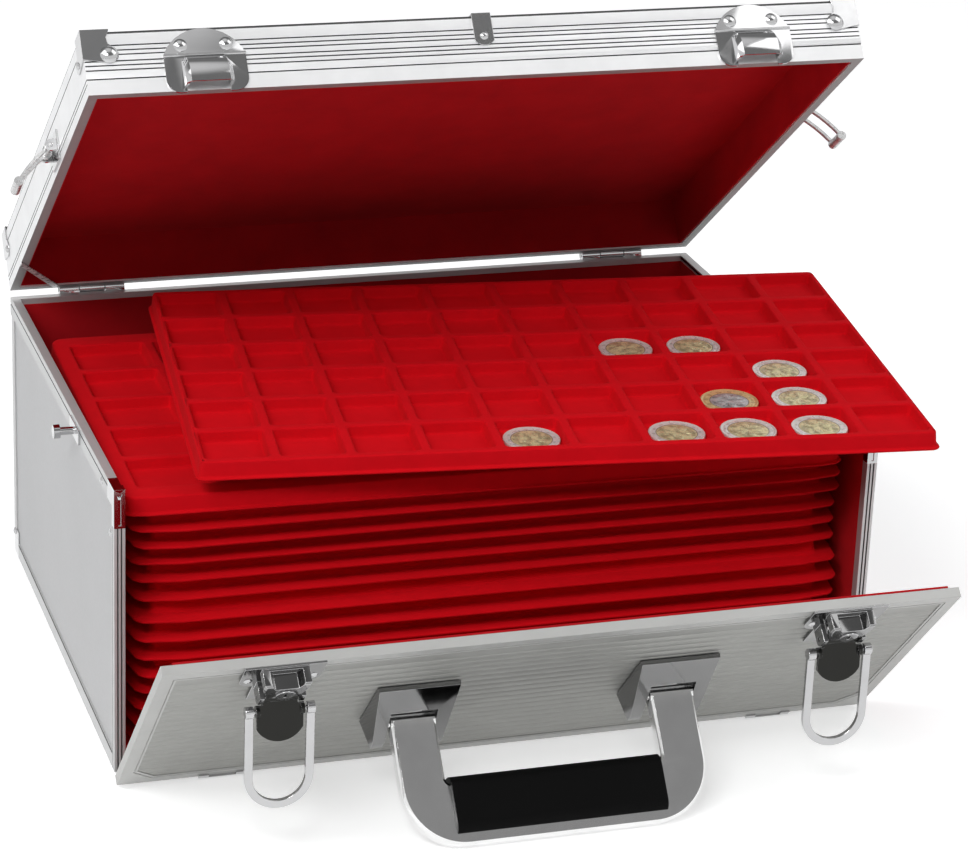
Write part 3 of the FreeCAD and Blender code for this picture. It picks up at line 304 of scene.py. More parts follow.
@dataclass(frozen=True)
class Flock:
    """Short velvet pile: matt, with a soft sheen and a fine mottle where the pile lies over."""

    name: str
    colour: Colour
    shade: Colour
    sheen: float = 0.25
    mottle: float = 90.0

    def material(self) -> bpy.types.Material:
        """Builds the node material.

        Returns:
            The material.
        """
        tree = NodeTree(bpy.data.materials.new(self.name))
        shader = tree.principled(self.colour, 0.92)
        tree.fill(shader, {"Specular IOR Level": 0.12, "Sheen Weight": self.sheen, "Sheen Roughness": 0.4,
                           "Sheen Tint": (1.0, 0.12, 0.12, 1.0)})
        broad = tree.noise(tree.coordinates(), self.mottle, 5.0, 0.6)
        pile = tree.noise(tree.coordinates(), 2600.0, 3.0, 0.7)
        tree.mottled(shader, broad, self.colour, self.shade)
        tree.link(tree.bump(pile, 0.35, 0.00012), shader.inputs["Normal"])
        return tree.owner


@dataclass(frozen=True)
class Laminate:
    """Pale sheet facing on the boards, with a fine pebble and faint cloudiness."""

    name: str
    colour: Colour
    roughness: float = 0.42
    pebble: float = 900.0

    def material(self) -> bpy.types.Material:
        """Builds the node material.

        Returns:
            The material.
        """
        tree = NodeTree(bpy.data.materials.new(self.name))
        shader = tree.principled(self.colour, self.roughness)
        cloud = tree.noise(tree.coordinates(), 9.0, 4.0)
        pebble = tree.noise(tree.coordinates(), self.pebble, 3.0, 0.6)
        darker = tuple(0.94 * c for c in self.colour)
        tree.mottled(shader, cloud, self.colour, darker)
        tree.link(tree.ranged(pebble, self.roughness, self.roughness + 0.12),
                  shader.inputs["Roughness"])
        tree.link(tree.bump(pebble, 0.2, 0.00008), shader.inputs["Normal"])
        return tree.owner


@dataclass(frozen=True)
class SoftPlastic:
    """Black moulded rubber or plastic with a fine leather-like grain."""

    name: str
    colour: Colour
    roughness: float
    grain: float
    shine: float = 0.4

    def material(self) -> bpy.types.Material:
        """Builds the node material.

        Returns:
            The material.
        """
        tree = NodeTree(bpy.data.materials.new(self.name))
        shader = tree.principled(self.colour, self.roughness)
        tree.fill(shader, {"Specular IOR Level": self.shine})
        cells = tree.add("ShaderNodeTexVoronoi", {"Scale": self.grain})
        tree.link(tree.coordinates(), cells.inputs["Vector"])
        mottle = tree.noise(tree.coordinates(), 40.0, 4.0)
        tree.link(tree.ranged(mottle, self.roughness - 0.05, self.roughness + 0.1),
                  shader.inputs["Roughness"])
        tree.link(tree.bump(cells.outputs["Distance"], 0.3, 0.0001), shader.inputs["Normal"])
        return tree.owner


@dataclass(frozen=True)
class TwoMetal:
    """Struck coin metal in two colours, darkened as painted shade where the relief lies low; the surface's
    own map gives the radius and the angle.
    """

    name: str
    centre: Colour
    ring: Colour
    # Painted shade for the relief's low parts: the centre's hollows, the groove at the joint and the ring's
    # ticks
    hollow_shade: Colour = (0.16, 0.13, 0.08)
    split: float = SPLIT
    edge: float = 0.455
    ticks: float = 12.0

    def material(self) -> bpy.types.Material:
        """Builds the node material; the map runs from -0.5 to 0.5 across the coin.

        Returns:
            The material.
        """
        tree = NodeTree(bpy.data.materials.new(self.name))
        shader = tree.principled(self.centre, 0.3, 0.4)
        place = tree.add("ShaderNodeTexCoord")
        radius = tree.add("ShaderNodeVectorMath", operation="LENGTH")
        tree.link(place.outputs["UV"], radius.inputs[0])
        step = 0.004
        distance = radius.outputs["Value"]
        factor = tree.ranged(distance, 0.0, 1.0, self.split - step, self.split + step)
        metal = tree.mixed(factor, self.centre, self.ring)
        hollow = tree.noise(tree.coordinates((1.0, 1.6, 1.0), "UV"), 5.0, 5.0, 0.6)
        inside = tree.times(tree.ranged(hollow, 0.8, 0.0, 0.40, 0.54),
                            tree.ranged(distance, 0.75, 0.0, self.split - 0.03, self.split))
        turn = tree.add("ShaderNodeTexGradient", gradient_type="RADIAL")
        tree.link(place.outputs["UV"], turn.inputs["Vector"])
        wave = tree.add("ShaderNodeMath", operation="PINGPONG")
        wave.inputs[1].default_value = 0.5 / self.ticks
        tree.link(turn.outputs["Fac"], wave.inputs[0])
        tick = tree.ranged(wave.outputs[0], 0.0, 0.3, 0.3 / self.ticks, 0.36 / self.ticks)
        band = tree.times(tree.ranged(distance, 0.0, 1.0, self.split + 0.02, self.split + 0.03),
                          tree.ranged(distance, 1.0, 0.0, self.edge - 0.03, self.edge - 0.02))
        groove = tree.times(tree.ranged(distance, 0.0, 0.8, self.split - 0.012, self.split),
                            tree.ranged(distance, 1.0, 0.0, self.split + 0.004, self.split + 0.016))
        # Painted shade: the centre's hollows, the groove at the joint and the ring's ticks are darkened
        # towards the shade colour
        low = tree.greater(inside, tree.greater(groove, tree.times(tick, band)))
        shaded = tree.mixed(low, self.centre, self.hollow_shade)
        tree.link(metal, tree.mixed_input(shaded))
        tree.link(shaded, shader.inputs["Base Color"])
        wear = tree.noise(tree.coordinates(), 700.0, 4.0)
        tree.link(tree.ranged(wear, 0.24, 0.42), shader.inputs["Roughness"])
        tree.link(tree.bump(wear, 0.1, 0.00003), shader.inputs["Normal"])
        return tree.owner


class Finish(Enum):
    """The finishes of the case's own pieces."""

    # The lid's, the case's and the flap's rails are one aluminium at three brightnesses: the lid's lighter
    # and the flap's darker than the case's, as painted light and painted shade
    SATIN_RAIL = Metal("satin_rail_painted_light", (0.9, 0.9, 0.905), 0.4, (8.0, 300.0, 300.0), metallic=0.5)
    CASE_RAIL = Metal("case_rail", (0.60, 0.60, 0.60), 0.4, (8.0, 300.0, 300.0), metallic=0.5)
    FLAP_RAIL = Metal("flap_rail_painted_shade", (0.47, 0.47, 0.46), 0.45, (8.0, 300.0, 300.0))
    # Painted shade: a darker colour on the lid rails' faces that close on the case, which face down
    RIM = Metal("lid_rim_painted_shade", (0.34, 0.34, 0.34), 0.5, metallic=0.5)
    WIRE = Metal("catch_wire", (0.62, 0.62, 0.62), 0.25, metallic=0.55)
    # Painted shade: near black on the walls of the rail grooves, for the shade inside them
    GROOVE = Metal("groove_painted_shade", (0.10, 0.10, 0.10), 0.5)
    CHROME = Metal("bright_chrome", (0.52, 0.52, 0.525), 0.09, (30.0, 30.0, 30.0), 0.03, 0.000004)
    # Painted light: a lighter copy of the chrome for the handle's bow
    BOW_CHROME = Metal("bow_chrome_painted_light", (0.84, 0.84, 0.84), 0.14, (30.0, 30.0, 30.0), 0.03, 0.000004)
    # Painted shade: darker copies of the chrome, on the faces of the latch bases and handle brackets, and
    # near black on the levers as a painted dark reflection
    SHADED_CHROME = Metal("shaded_chrome", (0.24, 0.24, 0.24), 0.1, (30.0, 30.0, 30.0), 0.03, 0.000004)
    DARK_CHROME = Metal("chrome_painted_dark_reflection", (0.03, 0.03, 0.028), 0.16, (30.0, 30.0, 30.0), 0.04, 0.000004)
    STEEL = Metal("plain_steel", (0.4, 0.4, 0.4), 0.3)
    FLUTED = Metal("fluted_sheet", (0.36, 0.36, 0.345), 0.5, (4.0, 90.0, 90.0), 0.04)
    PANEL = Laminate("side_panel", (0.57, 0.57, 0.575))
    LID_PANEL = Laminate("lid_panel", (0.62, 0.62, 0.62))
    INNER_BOARD = Laminate("inner_board", (0.3, 0.29, 0.28), 0.7)
    TRAY_FLOCK = Flock("tray_flock", (0.66, 0.002, 0.008), (0.60, 0.002, 0.007), 0.08)
    LINING_FLOCK = Flock("lining_flock", (0.52, 0.008, 0.013), (0.42, 0.006, 0.011), 0.15, 40.0)
    RUBBER = SoftPlastic("black_rubber", (0.015, 0.015, 0.015), 0.6, 900.0)
    GRIP = SoftPlastic("grip_skin", (0.004, 0.004, 0.004), 0.48, 1500.0, 0.05)
    COIN = TwoMetal("coin_gold_centre", (0.74, 0.69, 0.40), (0.76, 0.75, 0.72))
    # Near-black painted shade in the ring coin's relief
    ODD_COIN = TwoMetal("coin_gold_ring", (0.55, 0.56, 0.56), (0.72, 0.54, 0.26), (0.05, 0.05, 0.05),
                        ODD_SPLIT)


def finish_material(finish: Finish) -> bpy.types.Material:
    """Gives the material of a finish, built once."""
    known = bpy.data.materials.get(finish.value.name)
    return known if known is not None else finish.value.material()


# Meshes

def add_piece(name: str, points: np.ndarray, faces: list, finish: Finish,
              smooth_angle: float | None) -> bpy.types.Object:
    """Makes a closed mesh piece from points and faces, with doubles merged.

    Args:
        name: the piece's name.
        points: array of places, in metres.
        faces: lists of point numbers.
        finish: the finish it gets.
        smooth_angle: edges sharper than this stay crisp, None keeps all smooth.

    Returns:
        The new object.
    """
    mesh = bpy.data.meshes.new(name)
    mesh.from_pydata(np.asarray(points).tolist(), [], faces)
    tidy = bmesh.new()
    tidy.from_mesh(mesh)
    bmesh.ops.remove_doubles(tidy, verts=tidy.verts, dist=MERGE_NEW)
    bmesh.ops.recalc_face_normals(tidy, faces=tidy.faces)
    tidy.to_mesh(mesh)
    tidy.free()
    mesh.shade_smooth()
    if smooth_angle is not None:
        mesh.set_sharp_from_angle(angle=math.radians(smooth_angle))
    mesh.materials.append(finish_material(finish))
    piece = bpy.data.objects.new(name, mesh)
    bpy.context.scene.collection.objects.link(piece)
    return piece


def tube_faces(rings: int, around: int, offset: int = 0, both_ends: bool = False) -> list:
    """Gives the faces of closed rings of points stored one after the other, with the last one closed.

    Args:
        rings: number of rings.
        around: number of points of each.
        offset: number of the first point.
        both_ends: whether the first ring is closed too.

    Returns:
        Lists of point numbers.
    """
    row, column = np.meshgrid(np.arange(rings - 1), np.arange(around), indexing="ij")
    after = (column + 1) % around
    quads = np.stack([row * around + column, row * around + after,
                      (row + 1) * around + after, (row + 1) * around + column], axis=-1)
    faces = (quads.reshape(-1, 4) + offset).tolist()
    last = offset + (rings - 1) * around
    faces.append(list(range(last, last + around)))
    if both_ends:
        faces.append(list(range(offset, offset + around))[::-1])
    return faces


def shifted(faces: list, count: int) -> list:
    """Gives the same faces with every point number raised by a count."""
    return [[index + count for index in face] for face in faces]


def placed(points: np.ndarray, place: Matrix) -> np.ndarray:
    """Gives points turned and moved by a placement."""
    turn = np.array(place)
    return points @ turn[:3, :3].T + turn[:3, 3]


def read(items: bpy.types.bpy_prop_collection, name: str, width: int = 1, kind: type = float) -> np.ndarray:
    """Reads one field of all items of a mesh.

    Args:
        items: the mesh's vertices, edges, loops or polygons.
        name: the field.
        width: how many numbers an item has.
        kind: their type.

    Returns:
        One row for each item, or one number where the width is 1.
    """
    values = np.zeros(len(items) * width, dtype=kind)
    items.foreach_get(name, values)
    return values if width == 1 else values.reshape(-1, width)


@dataclass(frozen=True)
class NodeLook:
    """How one frame node is shown."""

    node: str
    body: str
    finish: Finish
    width_mm: float
    segments: int = 2
    crisp: float = CRISP_ANGLE
    # Finish of the rounded edges; where the faces carry darkened chrome as painted shade, this keeps plain
    # chrome on the rounding
    rim: Finish | None = None

    def build(self) -> bpy.types.Object:
        """Shows the node as a copy whose edges are rounded, with the rounding in its own finish if any;
        where the faces carry darkened chrome as painted shade, the rounding keeps plain chrome.

        Returns:
            The new piece.
        """
        shape = bmesh.new()
        shape.from_mesh(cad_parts[self.node].data)
        bmesh.ops.remove_doubles(shape, verts=shape.verts, dist=MERGE_FRAME)
        bmesh.ops.dissolve_limit(shape, angle_limit=math.radians(FLAT_ANGLE), verts=shape.verts,
                                 edges=shape.edges)
        mesh = bpy.data.meshes.new(self.node + "_shown")
        shape.to_mesh(mesh)
        shape.free()
        mesh.shade_smooth()
        mesh.set_sharp_from_angle(angle=math.radians(self.crisp))
        mesh.materials.clear()
        mesh.materials.append(finish_material(self.finish))
        if self.rim is not None:
            mesh.materials.append(finish_material(self.rim))
        piece = bpy.data.objects.new(self.node + "_shown", mesh)
        bpy.context.scene.collection.objects.link(piece)
        edge = piece.modifiers.new("edge", "BEVEL")
        edge.width = self.width_mm * MM
        edge.segments = self.segments
        edge.limit_method = "ANGLE"
        edge.angle_limit = math.radians(CRISP_ANGLE)
        edge.harden_normals = self.crisp < SOFT_ANGLE
        edge.material = -1 if self.rim is None else 1
        edge.use_clamp_overlap = True
        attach(piece, self.body)
        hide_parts(self.node)
        return piece


def alike(body: str, finish: Finish, width_mm: float, *nodes: str) -> tuple[NodeLook, ...]:
    """Gives the looks of nodes of one body that are shown alike."""
    return tuple(NodeLook(node, body, finish, width_mm) for node in nodes)


def pair(stem: str, finish: Finish, width_mm: float, **more: object) -> tuple[NodeLook, ...]:
    """Gives the looks of a right and a left node that each ride on the body of their own name."""
    return tuple(NodeLook(stem + side, stem + side, finish, width_mm, **more)
                 for side in ("_right", "_left"))


@dataclass
class Metalwork:
    """The carcass, lid, flap and fittings, shown as edge-rounded copies of their nodes."""

    looks: tuple[NodeLook, ...] = (
        *alike("case", Finish.PANEL, 0.1, "base_board", "left_side_board", "right_side_board", "back_board"),
        *alike("case", Finish.CASE_RAIL, 0.15, "rim_rails", "bottom_rails", "front_posts", "rear_posts"),
        *alike("case", Finish.CHROME, 0.2, "case_corner_caps"),
        *alike("case", Finish.RUBBER, 0.6, "rubber_feet"),
        *alike("case", Finish.LINING_FLOCK, 0.2, "wall_linings", "floor_lining"),
        *alike("case", Finish.CHROME, 0.3, "side_keepers"),
        *alike("case", Finish.CHROME, 0.12, "case_hinge_leaves"),
        *alike("case", Finish.STEEL, 0.1, "hinge_pins"),
        *alike("lid", Finish.LID_PANEL, 0.1, "lid_panel"),
        *alike("lid", Finish.SATIN_RAIL, 0.12, "lid_rails"),
        *alike("lid", Finish.LINING_FLOCK, 0.3, "lid_lining"),
        *alike("lid", Finish.CHROME, 0.2, "lid_corner_caps"),
        NodeLook("strike_plates", "lid", Finish.CHROME, 0.6, 3, crisp=60.0),
        *alike("lid", Finish.CHROME, 0.2, "lid_clip"),
        *alike("lid", Finish.WIRE, 0.1, "lid_stay"),
        *alike("lid", Finish.CHROME, 0.12, "lid_hinge_leaves"),
        *alike("lid", Finish.CHROME, 0.2, "catch_bases"),
        *pair("side_catch", Finish.WIRE, 0.3),
        *alike("flap", Finish.INNER_BOARD, 0.1, "flap_board"),
        *alike("flap", Finish.FLUTED, 0.08, "flap_skin"),
        *alike("flap", Finish.FLAP_RAIL, 0.15, "flap_trim"),
        *alike("flap", Finish.LINING_FLOCK, 0.2, "flap_lining"),
        # The latch bases', brackets' and levers' faces carry painted shade, darkened chrome, with plain
        # chrome on their rounding
        NodeLook("latch_bases", "flap", Finish.SHADED_CHROME, 0.25, rim=Finish.CHROME),
        NodeLook("handle_brackets", "flap", Finish.SHADED_CHROME, 0.5, 3, rim=Finish.CHROME),
        *alike("flap", Finish.CHROME, 0.12, "flap_hinge_leaves"),
        *pair("latch_lever", Finish.DARK_CHROME, 0.3, rim=Finish.CHROME),
        *pair("latch_bail", Finish.CHROME, 0.5, segments=3),
        *pair("lock_cylinder", Finish.CHROME, 0.15),
        NodeLook("handle_bow", "handle", Finish.BOW_CHROME, 0.5, 3, crisp=60.0),
    )
    # Rails whose groove walls get painted shade
    grooved: tuple[str, ...] = ("lid_rails", "rim_rails", "bottom_rails", "front_posts")
    groove_width: float = 0.00065
    groove_length: float = 0.02
    rim_facing: float = 0.95

    def build(self) -> None:
        """Shows every node of the list."""
        for look in self.looks:
            piece = look.build()
            if look.node in self.grooved:
                self.paint_groove_shade(piece)
            if look.node == "lid_rails":
                self.paint_rim_shade(piece)
            LOG.info("%s: %d faces", piece.name, len(piece.data.polygons))

    def paint_groove_shade(self, piece: bpy.types.Object) -> None:
        """Gives the long narrow faces, which are the groove walls, a near-black colour as painted shade.

        A face's width is taken as its area over its longest edge.

        Args:
            piece: the rails.
        """
        mesh = piece.data
        mesh.materials.append(finish_material(Finish.GROOVE))
        ends = read(mesh.vertices, "co", 3)[read(mesh.edges, "vertices", 2, np.int32)]
        lengths = np.linalg.norm(ends[:, 0] - ends[:, 1], axis=1)
        sides = lengths[read(mesh.loops, "edge_index", kind=np.int32)]
        longest = np.maximum.reduceat(sides, read(mesh.polygons, "loop_start", kind=np.int32))
        narrow = read(mesh.polygons, "area") / longest < self.groove_width
        index = (narrow & (longest > self.groove_length)).astype(np.int32)
        mesh.polygons.foreach_set("material_index", index)

    def paint_rim_shade(self, piece: bpy.types.Object) -> None:
        """Gives the lid's rim, the faces that close on the case and face down, a darker colour as painted
        shade.

        Args:
            piece: the lid's rails.
        """
        piece.data.materials.append(finish_material(Finish.RIM))
        faces = piece.data.polygons
        down = swing_about((0.0, 0.0, 0.0), -LID_OPEN) @ Vector((0.0, 0.0, -1.0))
        index = read(faces, "material_index", kind=np.int32)
        index[read(faces, "normal", 3) @ np.array(down) > self.rim_facing] = 2
        faces.foreach_set("material_index", index)


# Rivets

@dataclass(frozen=True)
class Head:
    """One rivet head, placed with the lid and the flap shut: place in millimetres and its facing."""

    place: tuple[float, float, float]
    facing: tuple[float, float, float]
    radius: float = 2.0
    height: float = 1.0


@dataclass
class Rivets:
    """Domed rivet heads, one mesh for each body that carries them."""

    around: int = 20
    rings: int = 5
    case: tuple[Head, ...] = (
        Head((178.0, -99.9, 129.0), (1, 0, 0)), Head((177.3, -116.3, 111.3), (1, 0, 0)),
        Head((178.0, 121.0, 11.5), (1, 0, 0)), Head((126.0, 127.0, 126.0), (0, 1, 0)),
        Head((148.0, 127.0, 126.0), (0, 1, 0)))
    lid: tuple[Head, ...] = (
        Head((167.0, -130.7, 154.0), (0, -1, 0), 4.0, 1.9), Head((167.0, 126.7, 154.0), (0, 1, 0), 3.5, 1.7),
        Head((178.7, -119.0, 154.0), (1, 0, 0)), Head((178.7, 115.0, 154.0), (1, 0, 0)),
        Head((116.0, -131.0, 156.5), (0, -1, 0), 3.0, 1.3),
        Head((136.0, -131.0, 156.5), (0, -1, 0), 3.0, 1.3),
        Head((126.0, 127.0, 146.0), (0, 1, 0)), Head((148.0, 127.0, 146.0), (0, 1, 0)),
        Head((179.0, -42.0, 149.0), (1, 0, 0)))
    clip: Head = Head((0.0, -130.8, 155.0), (0, -1, 0))
    flap: tuple[Head, ...] = (
        Head((112.0, -133.0, 120.0), (0, -1, 0)), Head((140.0, -133.0, 120.0), (0, -1, 0)))

    def head(self, head: Head) -> tuple[np.ndarray, list]:
        """Makes one head as a cap of a ball, closed by a flat seat.

        The cap's heights follow a circle through its rim and its top.

        Args:
            head: the head wanted.

        Returns:
            Points in metres and faces.
        """
        ball = (head.radius ** 2 + head.height ** 2) / (2 * head.height)
        rise = math.asin(head.radius / ball)
        tilt = np.linspace(rise, rise / self.rings, self.rings)
        angle = np.linspace(0, 2 * math.pi, self.around, endpoint=False)
        slope, turn = np.meshgrid(tilt, angle, indexing="ij")
        flat = np.stack([ball * np.sin(slope) * np.cos(turn), ball * np.sin(slope) * np.sin(turn),
                         ball * np.cos(slope) - ball + head.height], axis=-1).reshape(-1, 3)
        turned = Vector(head.facing).to_track_quat("Z", "X").to_matrix()
        points = flat @ np.array(turned).T + head.place
        return points * MM, tube_faces(self.rings, self.around, both_ends=True)

    def both_sides(self, heads: tuple[Head, ...]) -> list[Head]:
        """Adds each head's mirror image on the left.

        Args:
            heads: the heads on the right.

        Returns:
            The heads of both sides.
        """
        left = [Head((-h.place[0], h.place[1], h.place[2]), (-h.facing[0], h.facing[1], h.facing[2]),
                     h.radius, h.height) for h in heads]
        return list(heads) + left

    def build_group(self, name: str, body: str, heads: list[Head], swing: Matrix) -> None:
        """Makes the heads of one body.

        Args:
            name: the piece's name.
            body: the body they ride on.
            heads: the heads.
            swing: the body's turn from shut to where it stands.
        """
        points, faces, count = [], [], 0
        for head in heads:
            spots, quads = self.head(head)
            points.append(spots)
            faces += shifted(quads, count)
            count += len(spots)
        piece = add_piece(name, placed(np.concatenate(points), swing), faces, Finish.CHROME, 50.0)
        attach(piece, body)

    def build(self) -> None:
        """Makes the heads of the case, the lid and the flap."""
        self.build_group("case_rivets", "case", self.both_sides(self.case), Matrix.Identity(4))
        lid = swing_about(LID_HINGE, -LID_OPEN)
        self.build_group("lid_rivets", "lid", self.both_sides(self.lid) + [self.clip], lid)
        flap = swing_about((0.0, -CASE_DEPTH / 2, 0.0), FLAP_LEAN)
        self.build_group("flap_rivets", "flap", self.both_sides(self.flap), flap)
        LOG.info("rivets")


def swing_about(place: tuple[float, float, float], degrees: float) -> Matrix:
    """Gives the turn by some degrees about the line along X through a place in metres."""
    there = Matrix.Translation(Vector(place))
    return there @ Matrix.Rotation(math.radians(degrees), 4, "X") @ there.inverted()


# Trays

@dataclass(frozen=True)
class Loop:
    """A loop of points round a rectangle with round corners, the same count for every size.

    A point is the corner-centre rectangle scaled by its share, plus the corner radius along its
    direction. Points on the straight sides have a share between -1 and 1 along that side.
    """

    arc_steps: int = 4
    side_points: int = 3

    def shares(self) -> tuple[np.ndarray, np.ndarray]:
        """Works out each point's share of the corner-centre rectangle and its direction.

        Returns:
            Two arrays of pairs: shares and unit directions.
        """
        shares, ways = [], []
        signs = [(1, 1), (-1, 1), (-1, -1), (1, -1)]
        for corner, (sx, sy) in enumerate(signs):
            angles = np.radians(90 * corner + np.linspace(0, 90, self.arc_steps + 1))
            ways.append(np.stack([np.cos(angles), np.sin(angles)], axis=1))
            shares.append(np.tile([sx, sy], (self.arc_steps + 1, 1)).astype(float))
            nx, ny = signs[(corner + 1) % 4]
            t = np.linspace(0, 1, self.side_points + 2)[1:-1, None]
            shares.append(np.array([[sx, sy]]) * (1 - t) + np.array([[nx, ny]]) * t)
            end = np.radians(90 * (corner + 1))
            ways.append(np.tile([np.cos(end), np.sin(end)], (self.side_points, 1)))
        return np.concatenate(shares), np.concatenate(ways)

    def ring(self, half_x: float, half_y: float, radius: float, square: bool = False) -> np.ndarray:
        """Gives the loop at one size.

        Args:
            half_x: half length.
            half_y: half depth.
            radius: corner radius.
            square: pushes the corner arcs out to a true square corner.

        Returns:
            Array of pairs.
        """
        shares, ways = self.shares()
        if square:
            ways = ways / np.abs(ways).max(axis=1, keepdims=True)
        return shares * [half_x - radius, half_y - radius] + radius * ways


@dataclass
class TrayForm:
    """A flocked tray with square pockets, worked out as rings round each pocket and its own rim."""

    columns: int
    rows: int
    width: float = 0.337
    depth: float = 0.2075
    height: float = 0.0082
    flange: float = 0.0015
    flange_wall: float = 0.001
    draft: float = 0.0005
    corner: float = 0.008
    side_margin: float = 0.00275
    end_margin: float = 0.0044
    wall: float = 0.0045
    base_bevel: float = 0.0003
    base_lift: float = 0.0002
    pocket_depth: float = 0.0052
    pocket_corner: float = 0.0022
    # Least corner radius of a pocket's rings, as a share of the pocket's own
    least_corner: float = 0.4
    # How far in the innermost ring of a pocket's floor lies, as a share of the half length
    floor_reach: float = 0.55
    pocket_draft: float = 0.0007
    soft_edge: float = 0.0009
    soft_floor: float = 0.0012
    skirt: float = 0.0010
    loop: Loop = field(default_factory=Loop)

    def pitches(self) -> tuple[float, float]:
        """Gives the pocket pitch.

        Returns:
            The pitch across the tray and the pitch along it.
        """
        across = self.width - 2 * self.flange - 2 * self.side_margin + self.wall
        along = self.depth - 2 * self.flange - 2 * self.end_margin + self.wall
        return across / self.columns, along / self.rows

    def pocket_rings(self) -> np.ndarray:
        """Works out one pocket: a square cell edge, a rounded lip, a drawn wall and a soft floor.

        Returns:
            Array of rings by points by three, centred on the pocket with the top at the tray's.
        """
        pitch_x, pitch_y = self.pitches()
        half_x = (pitch_x - self.wall) / 2
        half_y = (pitch_y - self.wall) / 2
        rings = [np.column_stack([self.loop.ring(pitch_x / 2, pitch_y / 2,
                                                 self.pocket_corner + self.wall / 2, True),
                                  np.zeros(len(self.loop.shares()[0]))])]
        for angle in QUARTER_ROUND:
            inset = self.soft_edge * (math.sin(angle) - 1)
            drop = self.soft_edge * (1 - math.cos(angle))
            rings.append(self.pocket_ring(half_x, half_y, inset, drop))
        low = self.pocket_depth - self.soft_floor
        for angle in QUARTER_ROUND:
            inset = self.pocket_draft + self.soft_floor * (1 - math.cos(angle))
            drop = low + self.soft_floor * math.sin(angle)
            rings.append(self.pocket_ring(half_x, half_y, inset, drop))
        rings.append(self.pocket_ring(half_x, half_y, half_x * self.floor_reach, self.pocket_depth))
        return np.array(rings)

    def pocket_ring(self, half_x: float, half_y: float, inset: float, drop: float) -> np.ndarray:
        """Gives one ring of a pocket.

        Args:
            half_x: half length of the pocket's mouth.
            half_y: half depth of the mouth.
            inset: how far inside the mouth the ring lies.
            drop: how far below the top it lies.

        Returns:
            Array of points by three.
        """
        radius = max(self.pocket_corner - inset, self.pocket_corner * self.least_corner)
        flat = self.loop.ring(half_x - inset, half_y - inset, radius)
        return np.column_stack([flat, np.full(len(flat), -drop)])

    def pockets(self) -> tuple[np.ndarray, list]:
        """Repeats the pocket over the tray.

        Returns:
            Points and faces.
        """
        rings = self.pocket_rings()
        count, around = rings.shape[:2]
        pitch_x, pitch_y = self.pitches()
        x = (np.arange(self.columns) - (self.columns - 1) / 2) * pitch_x
        y = (np.arange(self.rows) - (self.rows - 1) / 2) * pitch_y
        centres = np.stack(np.meshgrid(x, y), axis=-1).reshape(-1, 2)
        centres = np.column_stack([centres, np.full(len(centres), self.height)])
        cells = rings.reshape(-1, 3)[None] + centres[:, None]
        reach = self.field_reach()
        level = np.isclose(cells[..., 2], self.height)
        bounded = np.clip(cells[..., :2], -reach, reach)
        cells[..., :2] = np.where(level[..., None], bounded, cells[..., :2])
        faces = []
        for cell in range(len(centres)):
            faces += tube_faces(count, around, cell * count * around)
        return cells.reshape(-1, 3), faces

    def field_reach(self) -> np.ndarray:
        """Gives the half size of the flat top, which ends where its outer edge begins to round."""
        inset = self.flange + self.draft + self.soft_edge
        return np.array([self.width / 2 - inset, self.depth / 2 - inset])

    def edge_points(self) -> np.ndarray:
        """Gives the points of the pocket cells along the outer edge of the pocket field.

        Returns:
            Array of pairs, in order round the field.
        """
        cell = self.pocket_rings()[0][:, :2]
        half = np.array(self.pitches()) / 2
        sides = []
        for axis, many in enumerate((self.columns, self.rows)):
            edge = cell[np.isclose(np.abs(cell[:, 1 - axis]), half[1 - axis]), axis]
            run = np.unique(np.round(edge, 9))
            spots = run[None] + ((np.arange(many) - (many - 1) / 2) * 2 * half[axis])[:, None]
            reach = self.field_reach()[axis]
            sides.append(np.unique(np.round(np.clip(spots.ravel(), -reach, reach), 7)))
        x, y = sides
        a, b = x.max(), y.max()
        front = np.column_stack([x[:-1], np.full(len(x) - 1, -b)])
        right = np.column_stack([np.full(len(y) - 1, a), y[:-1]])
        back = np.column_stack([x[::-1][:-1], np.full(len(x) - 1, b)])
        left = np.column_stack([np.full(len(y) - 1, -a), y[::-1][:-1]])
        return np.concatenate([front, right, back, left])

    def outline(self, edge: np.ndarray, half_x: float, half_y: float, radius: float) -> np.ndarray:
        """Carries the pocket field's edge points out to a rectangle with round corners.

        The points are scaled to the new rectangle, and those inside a corner square are pulled
        onto the arc about that corner's centre.

        Args:
            edge: the edge points.
            half_x: half length.
            half_y: half depth.
            radius: corner radius.

        Returns:
            Array of pairs.
        """
        scaled = edge / np.abs(edge).max(axis=0) * [half_x, half_y]
        core = np.clip(scaled, [-half_x + radius, -half_y + radius], [half_x - radius, half_y - radius])
        out = scaled - core
        length = np.linalg.norm(out, axis=1, keepdims=True)
        return core + radius * out / np.maximum(length, 1e-9)

    def rim(self) -> tuple[np.ndarray, list]:
        """Works out the tray's outer sides: top margin, soft edge, drawn side, flange and base.

        Returns:
            Points and faces.
        """
        edge = self.edge_points()
        half_x, half_y = self.width / 2, self.depth / 2
        top_in = self.flange + self.draft
        levels = [(None, self.height)]
        for angle in QUARTER_ROUND:
            levels.append((top_in + self.soft_edge * (1 - math.sin(angle)),
                           self.height - self.soft_edge * (1 - math.cos(angle))))
        foot = self.flange - self.skirt
        for angle in QUARTER_ROUND:
            levels.append((foot + self.skirt * math.cos(angle),
                           self.flange_wall + self.skirt * (1 - math.sin(angle))))
        bevel = self.base_bevel
        levels += [(bevel, self.flange_wall), (0.0, self.flange_wall - bevel),
                   (0.0, self.base_lift), (bevel, 0.0)]
        rings = []
        for inset, z in levels:
            if inset is None:
                flat = edge
            else:
                flat = self.outline(edge, half_x - inset, half_y - inset, max(self.corner - inset, 0.001))
            rings.append(np.column_stack([flat, np.full(len(flat), z)]))
        return np.concatenate(rings), tube_faces(len(rings), len(edge))

